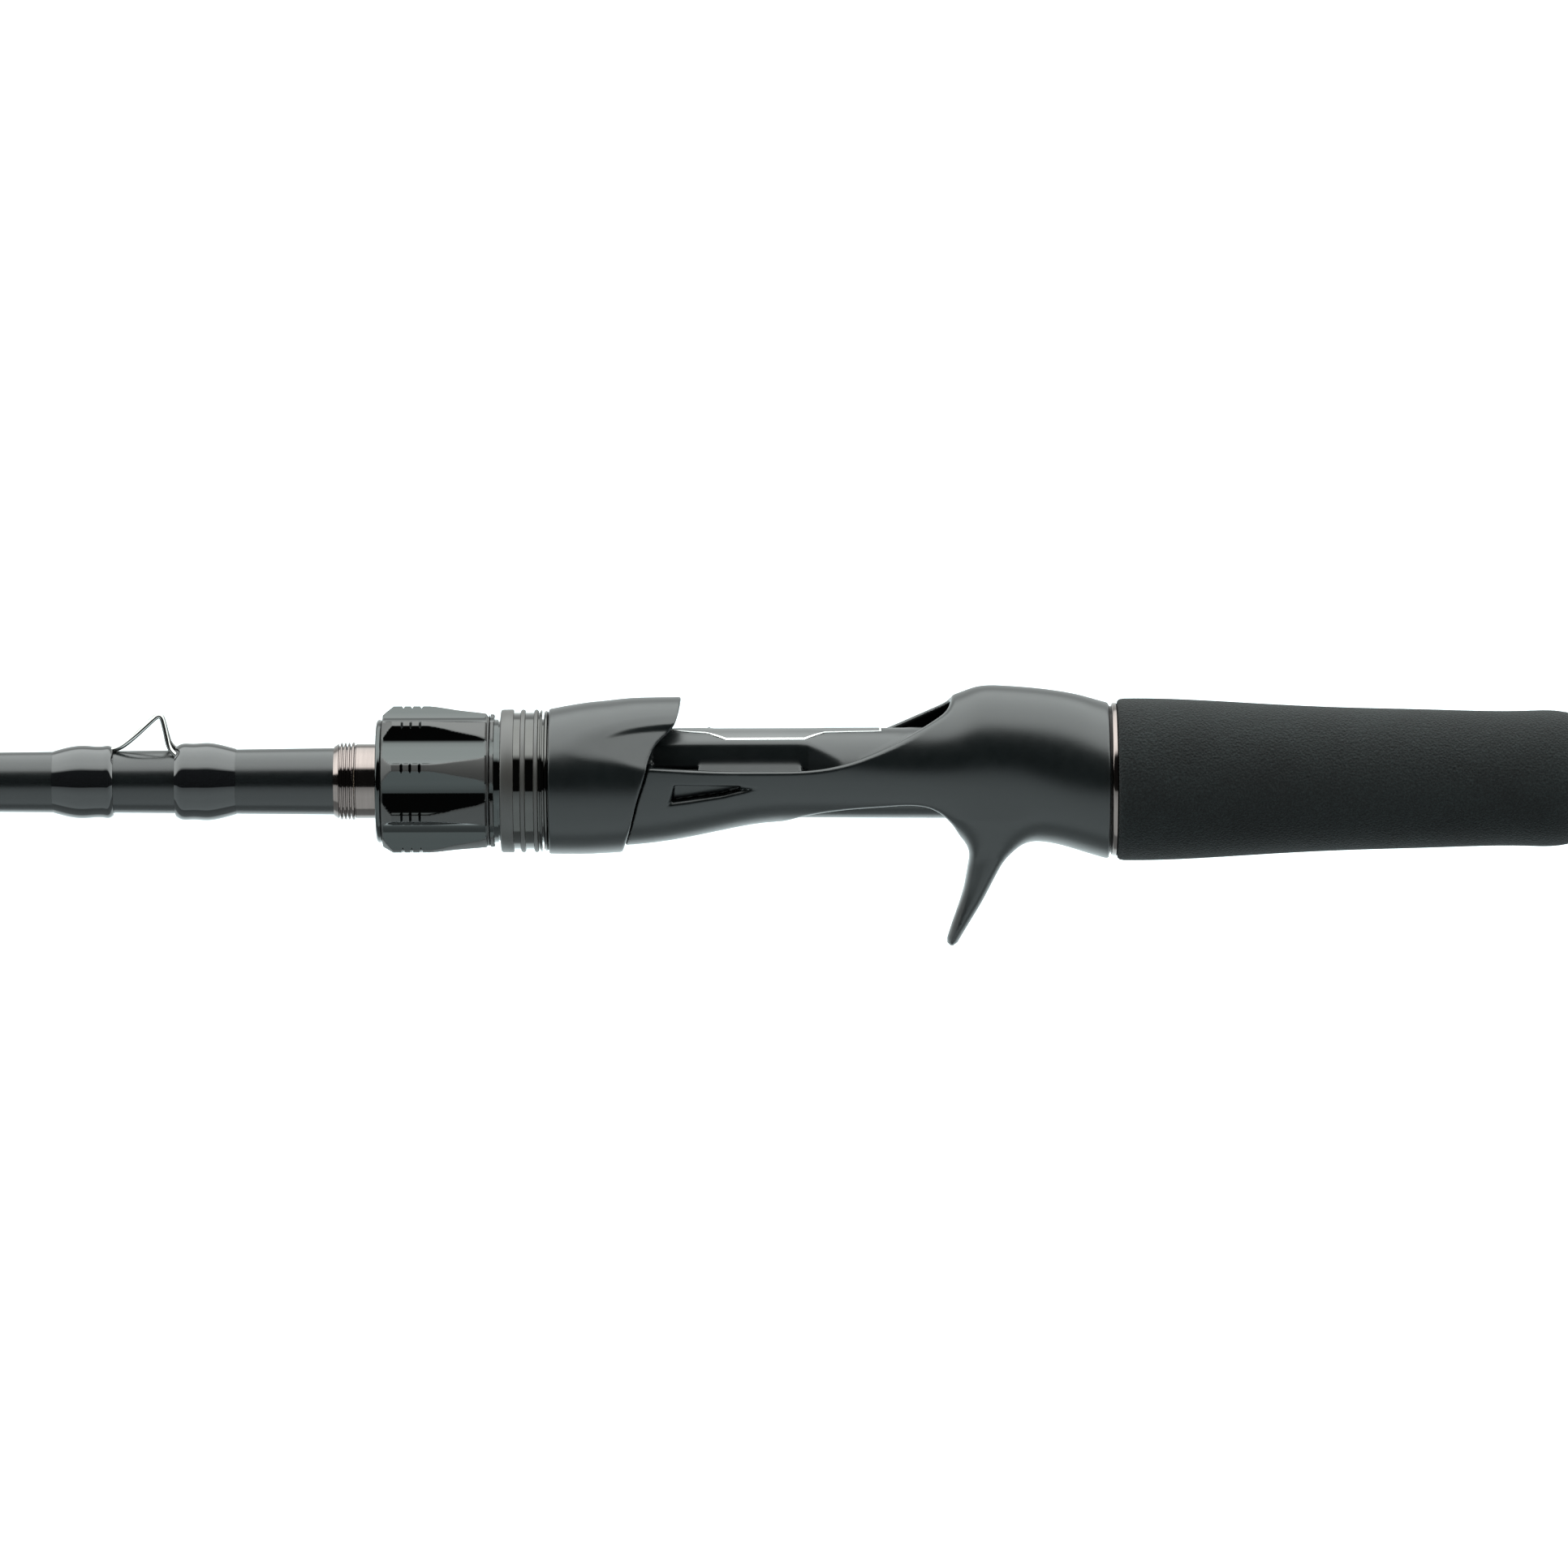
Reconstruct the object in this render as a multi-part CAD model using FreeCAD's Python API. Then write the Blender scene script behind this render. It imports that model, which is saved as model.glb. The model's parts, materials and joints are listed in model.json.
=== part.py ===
import FreeCAD, Part
import math
import os

# A one-piece casting rod, in millimetres. The rod's axis is X: the butt face is at X = 0 and the tip
# points to -X. +Z is the side of the reel and the guides, and the trigger hangs to -Z.

os.makedirs("parts", exist_ok=True)
Vector = FreeCAD.Vector

# Driving dimensions along the rod, from the butt face
ROD_LENGTH = 1980.0
CAP_LENGTH = 10.0
RING_LENGTH = 3.0
REAR_GRIP = (13.0, 108.0)
FRONT_GRIP = (168.0, 241.3)
SEAT_REAR = 242.6

# Blank: (distance from the butt face, outer radius); the wall thins towards the tip
BLANK_STATIONS = [(4.0, 6.7), (277.0, 6.1), (367.0, 5.35), (420.0, 4.8), (545.0, 4.2),
                  (845.0, 3.25), (1245.0, 2.3), (1975.0, 0.95)]
WALL_BUTT = 1.1
WALL_TIP = 0.45

# Reel seat, in distances ahead of its rear end
SEAT_BORE = 6.35
BARREL_START = 73.0
BARREL_END = 115.5
BARREL_RADIUS = 8.0
BARREL_BORE = 6.9
DECK_RADIUS = 9.0
DECK_CENTRE_Z = -0.65
DECK_HALF_WIDTH = 5.3
DECK_SPAN = (11.0, 91.0)
COUNTERBORE_RADIUS = 7.2
HOOD_FRONT = 89.6
HOOD_GAP = 0.35
# (ahead, half width, top, bottom) of the seat's outer hull
HULL_SECTIONS = [(0.0, 12.4, 12.3, 12.75), (4.0, 11.7, 13.45, 11.6), (9.0, 10.9, 14.45, 10.2),
                 (17.0, 10.5, 15.2, 9.6), (21.5, 10.45, 14.95, 8.9), (25.0, 10.4, 13.9, 8.0),
                 (31.0, 10.2, 13.1, 6.8), (41.0, 9.9, 12.7, 6.5), (50.0, 9.8, 11.9, 6.5),
                 (56.0, 9.9, 11.0, 6.9), (61.0, 10.0, 10.6, 7.8), (66.0, 10.1, 10.4, 8.85),
                 (71.0, 10.2, 10.4, 9.75), (80.0, 10.4, 10.4, 10.6)]
# Side-view lines of the seat: (ahead, height)
RAIL_LINE = [(80.0, 4.2), (73.5, 3.9), (65.0, 3.35), (54.5, 3.15), (47.5, 3.35), (43.5, 4.0),
             (37.0, 6.2), (31.0, 9.05), (27.4, 11.0), (25.7, 12.3), (25.2, 13.4), (25.4, 16.5)]
HOOD_EDGE = [(67.9, 15.5), (68.6, 12.6), (69.9, 9.6), (72.3, 7.4), (73.6, 5.0), (74.3, 2.5),
             (75.4, -1.0), (76.6, -6.0), (77.7, -10.5), (78.2, -13.0)]
WINDOW = [(50.5, -6.0), (47.5, -4.7), (36.0, -3.2), (31.0, -2.85), (28.5, -3.4), (26.5, -5.0),
          (24.4, -8.0), (22.8, -15.0), (54.0, -15.0)]
VENT = [(69.7, 1.1), (70.6, -2.5), (61.6, -1.2), (56.2, 0.3), (59.1, 0.9)]
VENT_DEPTH = 1.4
FLANK_HALF_WIDTH = 10.05
TRIGGER_FRONT = [(28.0, -5.0), (25.4, -7.5), (23.2, -10.4), (22.2, -13.5), (22.7, -17.5), (24.0, -21.5),
                 (25.8, -25.6)]
TRIGGER_REAR = [(24.2, -26.5), (22.3, -23.7), (20.2, -19.7), (18.2, -15.6), (15.6, -11.9), (11.7, -10.0),
                (7.0, -8.5)]
TRIGGER_WIDTH = 9.2
TRIGGER_TIP_WIDTH = 6.4
TRIGGER_TIP_Z = -27.0
# The top plate's outline: (ahead, half width)
PLATE_OUTLINE = [(71.0, 1.0), (66.6, 1.4), (64.5, 1.75), (61.3, 3.7), (48.7, 3.7), (45.4, 1.65),
                 (36.8, 1.25)]
PLATE_THICKNESS = 0.5
OUTLINE_WIDTH = 0.35

# Thread of the barrel and the lock nut
PITCH = 2.0
THREAD_BASE = 1.2
THREAD_CREST = 0.45
MALE_THREAD = (7.95, 8.55)
FEMALE_THREAD = (8.75, 8.15)
THREAD_START = 93.0
NUT_THREAD_START = 99.0
NUT_THREAD_LENGTH = 6.0

# Sliding hood and lock nut
NUT_BORE = 8.75
NUT_RADIUS = 12.0
FLUTES = 9
FLUTE_CUTTER_RADIUS = 4.6
FLUTE_CUTTER_CENTRE = 14.8
FLUTE_PHASE = 19.0
NOTCHES = (112.9, 111.5, 110.0)
NOTCH_HALF_WIDTH = 0.22
NOTCH_DEPTH = 0.35
INSERT_RADIUS = 9.4
COLLAR_BORE = 9.65
HOOD_BORE = 8.9
COLLAR_SLEEVE_RADIUS = 9.9
COLLAR_SLEEVE_END = 84.0

# Room for the reel foot's ends: (ahead, half width, top)
REAR_FOOT_SPACE = [(46.0, 8.6, 13.2), (28.0, 8.3, 12.6), (11.0, 7.4, 11.2)]
FRONT_FOOT_SPACE = [(60.0, 9.4, 12.0), (76.0, 9.4, 11.9), (84.0, 8.9, 9.6)]
LINER_THICKNESS = 0.5

# Hook keeper
WIRE_RADIUS = 0.4
# One strand of the keeper: (ahead, out from the middle, lift above the blank)
KEEPER_STRAND = [(161.5, 0.15, 0.0), (158.6, 0.5, 0.15), (155.6, 0.7, 2.1), (153.4, 0.75, 4.1),
                 (151.9, 0.6, 5.2), (150.9, 0.9, 3.8), (149.9, 1.9, 0.9), (148.0, 2.9, -0.5),
                 (145.0, 3.1, -0.65)]
KEEPER_WRAPS = ((159.3, 169.0), (139.7, 149.4))
WRAP_THICKNESS = 0.75
# Height of a wrap along its length: (share of length, share of thickness)
WRAP_SHAPE = [(0.0, 0.15), (0.06, 0.55), (0.2, 0.95), (0.45, 1.0), (0.7, 0.9), (0.9, 0.5), (1.0, 0.15)]

# Line guides: (distance from the tip, ring inner radius, ring centre above the blank, two feet)
GUIDES = [(1180.0, 3.65, 8.6, True), (950.0, 2.75, 6.6, False), (755.0, 2.0, 5.3, False),
          (590.0, 1.75, 4.8, False), (445.0, 1.75, 4.6, False), (315.0, 1.75, 4.4, False),
          (200.0, 1.75, 4.3, False), (95.0, 1.75, 4.2, False)]
RING_SECTION = 1.1
FRAME_BAND = 0.55
FRAME_WIDTH = 1.2
LEG_RADIUS = 0.45
FOOT_LENGTH = 9.0
FOOT_THICKNESS = 0.5
GUIDE_WRAP = 0.4
TIP_RING_RADIUS = 1.75
TIP_BORE = 0.97
TIP_SLEEVE_RADIUS = 1.45
TIP_SLEEVE_LENGTH = 10.0

# Clearance between a turned piece and the blank or its neighbour, and the reach of cutting tools
FIT = 0.01
REACH = 20.0


def at(ahead):
    """X of a point that lies this far ahead of the seat's rear end."""
    return -(SEAT_REAR + ahead)


def export(name, shape):
    """Write one node."""
    shape.exportStep("parts/" + name + ".step")


def lathe(outline):
    """Solid turned about the rod's axis from a closed outline of (x, radius)."""
    points = [Vector(x, 0, r) for x, r in outline]
    face = Part.Face(Part.makePolygon(points + points[:1]))
    return face.revolve(Vector(0, 0, 0), Vector(1, 0, 0), 360)


def tube(x0, x1, outer, inner):
    """Plain tube about the rod's axis."""
    return lathe([(x0, inner), (x0, outer), (x1, outer), (x1, inner)])


def disc(x0, x1, radius, centre_z=0.0):
    """Plain cylinder along X."""
    return Part.makeCylinder(radius, abs(x1 - x0), Vector(min(x0, x1), 0, centre_z), Vector(1, 0, 0))


def curve(points):
    """Smooth edge through the points."""
    spline = Part.BSplineCurve()
    spline.interpolate(points)
    return spline.toShape()


def oval(x, half_width, top, bottom):
    """Closed wire across the rod: an upper and a lower half ellipse of one width."""
    points = []
    for step in range(24):
        angle = 2 * math.pi * step / 24
        height = top if math.sin(angle) > 0 else bottom
        points.append(Vector(x, half_width * math.cos(angle), height * math.sin(angle)))
    spline = Part.BSplineCurve()
    spline.interpolate(points, True)
    return Part.Wire(spline.toShape())


def side_prism(points, half_width):
    """Solid of a closed side-view outline of (ahead, height), as wide as given on both sides."""
    corners = [Vector(at(ahead), -half_width, height) for ahead, height in points]
    wire = Part.makePolygon(corners + corners[:1])
    return Part.Face(wire).extrude(Vector(0, 2 * half_width, 0))


def side_region(line, far_corners):
    """Solid on one side of a smooth side-view line, closed through the far corners."""
    path = [Vector(at(ahead), -REACH, height) for ahead, height in line]
    corners = [Vector(at(ahead), -REACH, height) for ahead, height in far_corners]
    edges = [curve(path)]
    chain = [path[-1]] + corners + [path[0]]
    for start, end in zip(chain[:-1], chain[1:]):
        edges.append(Part.LineSegment(start, end).toShape())
    return Part.Face(Part.Wire(edges)).extrude(Vector(0, 2 * REACH, 0))


def blank_radius(distance):
    """Outer radius of the blank at a distance from the butt face."""
    for (x0, r0), (x1, r1) in zip(BLANK_STATIONS[:-1], BLANK_STATIONS[1:]):
        if distance <= x1:
            return r0 + (r1 - r0) * (distance - x0) / (x1 - x0)
    return BLANK_STATIONS[-1][1]


def wire_path(points, radius):
    """Bent wire: straight lengths with a round joint at each bend."""
    pieces = []
    for start, end in zip(points[:-1], points[1:]):
        step = end - start
        pieces.append(Part.makeCylinder(radius, step.Length, start, step))
    for point in points[1:-1]:
        pieces.append(Part.makeSphere(radius, point))
    return pieces[0].fuse(pieces[1:]).removeSplitter()


def make_blank():
    """Hollow tapered tube."""
    length = BLANK_STATIONS[-1][0]
    outer = [(-x, r) for x, r in BLANK_STATIONS]
    inner = [(-x, r - WALL_BUTT + (WALL_BUTT - WALL_TIP) * x / length) for x, r in BLANK_STATIONS]
    return lathe(outer + inner[::-1])


def make_arbor(front, rear, outer):
    """Bush between the blank and the seat, its bore tapered like the blank."""
    distances = (SEAT_REAR + rear, SEAT_REAR + front)
    bore = [(-d, blank_radius(d) + FIT) for d in distances]
    return lathe(bore + [(-distances[1], outer), (-distances[0], outer)])


def thread_ridge(radii, start, length):
    """Helical ridge about the rod's axis, right-handed towards the tip."""
    root, crest = radii
    helix = Part.makeHelix(PITCH, length, root)
    profile = Part.makePolygon([Vector(root, 0, -THREAD_BASE / 2), Vector(crest, 0, -THREAD_CREST / 2),
                                Vector(crest, 0, THREAD_CREST / 2), Vector(root, 0, THREAD_BASE / 2),
                                Vector(root, 0, -THREAD_BASE / 2)])
    ridge = Part.Wire(helix.Edges).makePipeShell([profile], True, True)
    ridge.rotate(Vector(0, 0, 0), Vector(0, 1, 0), -90)
    ridge.translate(Vector(at(start), 0, 0))
    return ridge


def plate_prism(grow):
    """Upright prism of the top plate's plan outline, grown sideways by the given width."""
    side = [Vector(at(ahead), half + grow, 0) for ahead, half in PLATE_OUTLINE]
    side[0].x -= grow
    side[-1].x += grow
    mirrored = [Vector(p.x, -p.y, 0) for p in side[::-1]]
    return Part.Face(Part.makePolygon(side + mirrored + side[:1])).extrude(Vector(0, 0, REACH))


def foot_space(ends, shrink=0.0):
    """Room for one end of a reel foot, above the deck and under a hood, lofted through its ends."""
    space = Part.makeLoft([oval(at(ahead), half_width - shrink, top - shrink, top - shrink)
                           for ahead, half_width, top in ends], True)
    space = space.cut(disc(at(0) + 5, at(120), DECK_RADIUS, DECK_CENTRE_Z))
    return space.cut(Part.makeBox(300, 60, 40, Vector(at(150), -30, -40)))


def make_liner(ends, ahead0, ahead1):
    """Cushion strip under the roof of a hood."""
    strip = Part.makeBox(ahead1 - ahead0, 8, 12, Vector(at(ahead1), -4, 9.0))
    return foot_space(ends).cut(foot_space(ends, LINER_THICKNESS)).common(strip)


def make_trigger():
    """Finger trigger: a curved web that narrows to its tip."""
    front = [Vector(at(a), -10, z) for a, z in TRIGGER_FRONT]
    rear = [Vector(at(a), -10, z) for a, z in TRIGGER_REAR]
    edges = [curve(front), Part.LineSegment(front[-1], rear[0]).toShape(), curve(rear),
             Part.LineSegment(rear[-1], front[0]).toShape()]
    web = Part.Face(Part.Wire(edges)).extrude(Vector(0, 20, 0))
    half = TRIGGER_WIDTH / 2
    tip_half = TRIGGER_TIP_WIDTH / 2
    root_flare = 2.5
    tip_chamfer = 1.8
    one_side = [(half + root_flare, -5.0), (half, -12.0), (tip_half, TRIGGER_TIP_Z + 3.0),
                (tip_half - tip_chamfer, TRIGGER_TIP_Z)]
    other_side = [(-y, z) for y, z in one_side[::-1]]
    across = [Vector(at(35), y, z) for y, z in one_side + other_side]
    taper = Part.Face(Part.makePolygon(across + across[:1])).extrude(Vector(2 * REACH, 0, 0))
    return web.common(taper)


def make_hull():
    """Outer hull of the seat, trimmed to the rail line, the hood's edge and the window below."""
    hull = Part.makeLoft([oval(at(a), w, t, b) for a, w, t, b in HULL_SECTIONS], True)
    above_rail = side_region(RAIL_LINE, [(25.4, 30.0), (80.0, 30.0)])
    edge = [(ahead - HOOD_GAP, height) for ahead, height in HOOD_EDGE]
    ahead_of_edge = side_region(edge, [(95.0, -13.0), (95.0, 15.5)])
    hull = hull.cut(above_rail).cut(ahead_of_edge).cut(side_prism(WINDOW, REACH))
    for side in (-1, 1):
        recess = side_prism(VENT, REACH)
        recess.translate(Vector(0, side * (REACH + FLANK_HALF_WIDTH - VENT_DEPTH), 0))
        hull = hull.cut(recess)
    return hull


def make_seat_body():
    """Skeleton seat: hull, deck, threaded barrel and trigger, bored for the blank."""
    rear, front = DECK_SPAN
    deck = disc(at(rear), at(front), DECK_RADIUS, DECK_CENTRE_Z)
    corner = Vector(at(front), -DECK_HALF_WIDTH, 0)
    deck = deck.common(Part.makeBox(front - rear, 2 * DECK_HALF_WIDTH, REACH, corner))
    barrel = disc(at(BARREL_START), at(BARREL_END), BARREL_RADIUS)
    body = make_hull().cut(foot_space(REAR_FOOT_SPACE))
    body = body.fuse([deck, barrel, make_trigger()])
    body = body.cut(plate_prism(OUTLINE_WIDTH).common(plate_shell(PLATE_THICKNESS)))
    body = body.cut(disc(at(-1), at(BARREL_END + 1), SEAT_BORE))
    body = body.cut(disc(at(90), at(BARREL_END + 1), BARREL_BORE))
    body = body.cut(disc(at(2), at(20), COUNTERBORE_RADIUS))
    thread = thread_ridge(MALE_THREAD, THREAD_START, BARREL_END - THREAD_START - 1.0)
    return body.fuse(thread).removeSplitter()


def plate_shell(thickness, stand=0.0):
    """Skin of the deck's crest, down to the given depth."""
    skin = disc(at(10), at(90), DECK_RADIUS + stand, DECK_CENTRE_Z)
    skin = skin.cut(disc(at(9), at(91), DECK_RADIUS - thickness, DECK_CENTRE_Z))
    return skin.common(Part.makeBox(120, 12, 12, Vector(at(91), -6, 2)))


def make_plate():
    """Top plate that the reel foot rests on."""
    return plate_prism(0).common(plate_shell(PLATE_THICKNESS))


def make_outline():
    """Thin metal frame around the top plate."""
    return plate_prism(OUTLINE_WIDTH).cut(plate_prism(0)).common(plate_shell(PLATE_THICKNESS, 0.05))


def make_hood_shell():
    """Sliding hood: bored for the barrel, open at the back for the reel foot."""
    sections = [(HOOD_FRONT, 11.5, 11.6, 11.7), (86.5, 11.5, 12.1, 11.8), (83.0, 11.5, 12.7, 11.8),
                (79.0, 11.4, 13.2, 11.5), (74.0, 11.4, 13.4, 11.2), (65.0, 11.4, 13.5, 10.9)]
    shell = Part.makeLoft([oval(at(a), w, t, b) for a, w, t, b in sections], True)
    behind_edge = side_region(HOOD_EDGE, [(60.0, -13.0), (60.0, 15.5)])
    shell = shell.cut(behind_edge)
    shell = shell.cut(disc(at(60), at(95), HOOD_BORE))
    shell = shell.cut(disc(at(COLLAR_SLEEVE_END), at(95), COLLAR_SLEEVE_RADIUS))
    channel = Part.makeBox(30, 14.4, 14, Vector(at(84), -7.2, 0))
    return shell.cut(foot_space(FRONT_FOOT_SPACE).common(channel))


def make_hood_collar():
    """Metal ferrule at the hood's front, with a sleeve pressed into the hood."""
    groove = 11.0
    crest = 11.44
    outline = [(97.3, COLLAR_BORE), (97.3, groove), (97.0, crest), (95.15, crest), (95.15, groove),
               (94.1, groove), (94.1, crest), (93.27, crest), (93.27, groove), (91.96, groove),
               (91.96, crest), (91.22, crest), (91.22, groove), (90.98, groove), (90.98, crest),
               (90.56, crest), (90.56, COLLAR_SLEEVE_RADIUS), (COLLAR_SLEEVE_END, COLLAR_SLEEVE_RADIUS),
               (COLLAR_SLEEVE_END, HOOD_BORE), (94.0, HOOD_BORE), (94.0, COLLAR_BORE),
               (95.0, COLLAR_BORE), (95.0, 10.3), (95.9, 10.3), (95.9, COLLAR_BORE)]
    return lathe([(at(a), r) for a, r in outline])


def make_retaining_ring():
    """Open spring ring that ties the nut's neck to the hood."""
    ring = tube(at(95.1), at(95.8), 10.2, 9.3)
    gap = Part.makeBox(4, 3.0, 6, Vector(at(97), -1.5, -12))
    return ring.cut(gap)


def make_nut_shell():
    """Fluted outer shell of the lock nut."""
    rim = 10.9
    outline = [(116.2, NUT_BORE), (116.2, rim), (115.8, rim), (114.5, NUT_RADIUS)]
    for notch in NOTCHES:
        outline += [(notch + NOTCH_HALF_WIDTH, NUT_RADIUS), (notch, NUT_RADIUS - NOTCH_DEPTH),
                    (notch - NOTCH_HALF_WIDTH, NUT_RADIUS)]
    outline += [(108.7, NUT_RADIUS), (107.4, 11.83), (106.1, 11.64), (104.8, 11.38), (103.5, 11.25),
                (102.2, 11.1), (100.9, 10.98), (99.6, 10.75), (99.3, 10.3), (99.1, 10.3),
                (99.1, INSERT_RADIUS), (107.8, INSERT_RADIUS), (107.8, NUT_BORE)]
    nut = lathe([(at(a), r) for a, r in outline])
    for index in range(FLUTES):
        angle = math.radians(FLUTE_PHASE + 360.0 / FLUTES * index)
        out = Vector(0, math.cos(angle), math.sin(angle)) * FLUTE_CUTTER_CENTRE
        axis = Vector(at(121), 0, 0) + out
        nut = nut.cut(Part.makeCylinder(FLUTE_CUTTER_RADIUS, 25, axis, Vector(1, 0, 0)))
    return nut


def make_nut_insert():
    """Threaded tube inside the nut."""
    insert = tube(at(107.8), at(99.1), INSERT_RADIUS, NUT_BORE - 0.05)
    ridge = thread_ridge(FEMALE_THREAD, NUT_THREAD_START + PITCH / 2, NUT_THREAD_LENGTH)
    return insert.fuse(ridge).removeSplitter()


def make_nut_rear_lip():
    """Rear lip of the nut and its neck, which turns in the hood's collar."""
    outline = [(99.1, NUT_BORE), (99.1, 10.6), (98.3, 10.6), (98.3, 10.0), (97.6, 10.0), (97.6, 9.6),
               (96.1, 9.6), (96.1, 9.15), (94.8, 9.15), (94.8, 9.6), (94.3, 9.6), (94.3, NUT_BORE)]
    return lathe([(at(a), r) for a, r in outline])


def make_check_flanges():
    """Three fine flanges of the winding check."""
    bore = blank_radius(SEAT_REAR + 120.5) + FIT
    crest = 6.24
    valley = 5.98
    outline = [(124.0, bore), (124.0, 5.6), (123.2, crest - 0.1)]
    for front, rear in ((122.9, 122.6), (122.3, 122.0), (121.7, 121.4)):
        outline += [(front, crest), (rear, crest), (rear - 0.1, valley), (rear - 0.2, valley)]
    outline += [(121.1, crest), (120.7, crest), (120.5, valley), (120.5, bore)]
    return lathe([(at(a), r) for a, r in outline])


def keeper_points(side):
    """Centre line of one strand of the hook keeper, from its closed foot to its free foot."""
    points = []
    for ahead, out, lift in KEEPER_STRAND:
        surface = blank_radius(SEAT_REAR + ahead) + WIRE_RADIUS
        points.append(Vector(at(ahead), side * out, surface + lift))
    return points


def make_keeper():
    """Wire loop over the blank: two strands joined at the front foot."""
    near = keeper_points(-1)
    far = keeper_points(1)
    return wire_path(near[::-1] + far, WIRE_RADIUS)


def make_keeper_wrap(ahead0, ahead1, cutters):
    """Thread wrap with rounded ends over a foot of the keeper."""
    length = ahead1 - ahead0
    bore = blank_radius(SEAT_REAR + ahead0) + FIT
    outline = [(ahead0, bore)]
    for share, rise in WRAP_SHAPE:
        ahead = ahead0 + share * length
        outline.append((ahead, blank_radius(SEAT_REAR + ahead) + WRAP_THICKNESS * rise))
    outline.append((ahead1, bore))
    wrap = lathe([(at(a), r) for a, r in outline])
    for cutter in cutters:
        wrap = wrap.cut(cutter)
    return wrap


def make_grip(near, far, ends):
    """Foam grip: a turned barrel with rounded ends, from (share of length, radius) stations."""
    outline = [Vector(-(near + share * (far - near)), 0, radius) for share, radius in ends]
    bore = blank_radius(near) + 0.02
    profile = curve(outline)
    start = Vector(-near, 0, bore)
    end = Vector(-far, 0, bore)
    edges = [Part.LineSegment(start, outline[0]).toShape(), profile,
             Part.LineSegment(outline[-1], end).toShape(), Part.LineSegment(end, start).toShape()]
    face = Part.Face(Part.Wire(edges))
    return face.revolve(Vector(0, 0, 0), Vector(1, 0, 0), 360)


def ring_torus(x, centre_z, inner_radius):
    """Ceramic guide ring with a rounded section."""
    minor = RING_SECTION / 2
    return Part.makeTorus(inner_radius + minor, minor, Vector(x, 0, centre_z), Vector(1, 0, 0))


def guide_foot(start, direction):
    """Thin foot on the blank, tapered to its end; direction is +1 towards the butt, -1 to the tip."""
    end = start - direction * FOOT_LENGTH
    outline = [Vector(-start, -0.9, 0), Vector(-end, -0.9, 0),
               Vector(-end, -0.9, blank_radius(end) + 0.15),
               Vector(-start, -0.9, blank_radius(start) + FOOT_THICKNESS)]
    return Part.Face(Part.makePolygon(outline + outline[:1])).extrude(Vector(0, 1.8, 0))


def blank_core(distance):
    """Solid length of the blank's outer shape around a guide."""
    ends = (distance - 30.0, min(distance + 30.0, BLANK_STATIONS[-1][0]))
    outline = [(-ends[0], 0.0), (-ends[0], blank_radius(ends[0])), (-ends[1], blank_radius(ends[1])),
               (-ends[1], 0.0)]
    return lathe(outline)


def ring_band(x, centre_z, outer):
    """Stamped band that holds a guide ring."""
    band = disc(x - FRAME_WIDTH / 2, x + FRAME_WIDTH / 2, outer, centre_z)
    ring_seat = outer - FRAME_BAND - 0.35
    return band.cut(disc(x - FRAME_WIDTH, x + FRAME_WIDTH, ring_seat, centre_z))


def make_guide(from_tip, inner_radius, height, two_feet):
    """Frame and ring of one guide."""
    distance = ROD_LENGTH - from_tip
    x = -distance
    surface = blank_radius(distance)
    centre_z = surface + height
    outer = inner_radius + RING_SECTION + FRAME_BAND
    band = ring_band(x, centre_z, outer)
    ring = ring_torus(x, centre_z, inner_radius)
    band = band.cut(ring)
    leg_angle = math.radians(40)
    spread = outer * math.sin(leg_angle)
    drop = outer * math.cos(leg_angle)
    reach = height * 0.9
    directions = (1, -1) if two_feet else (1,)
    parts = []
    for direction in directions:
        for side in (-1, 1):
            top = Vector(x, side * (spread - 0.15), centre_z - drop + 0.1)
            bottom = Vector(x + direction * reach, side * 0.45, surface + LEG_RADIUS)
            toe = bottom + Vector(direction * 1.2, 0, -0.15)
            parts.append(wire_path([top, bottom, toe], LEG_RADIUS))
        parts.append(guide_foot(distance - direction * reach, direction))
    frame = band.fuse(parts).removeSplitter().cut(blank_core(distance))
    return frame.cut(ring), ring, [distance - d * reach for d in directions], directions


def make_guide_wraps(starts, directions, frame):
    """Thread wraps over the guide's feet."""
    wraps = []
    for start, direction in zip(starts, directions):
        near = start - direction * 0.8
        crest = start - direction * 2.2
        far = start - direction * (FOOT_LENGTH + 2.5)
        r_near = blank_radius(near)
        r_far = blank_radius(far)
        wraps.append(lathe([(-near, r_near + FIT), (-near, r_near + GUIDE_WRAP * 0.6),
                            (-crest, r_near + FOOT_THICKNESS + GUIDE_WRAP),
                            (-far, r_far + GUIDE_WRAP * 0.5), (-far, r_far + FIT)]).cut(frame))
    return Part.makeCompound(wraps)


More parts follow.
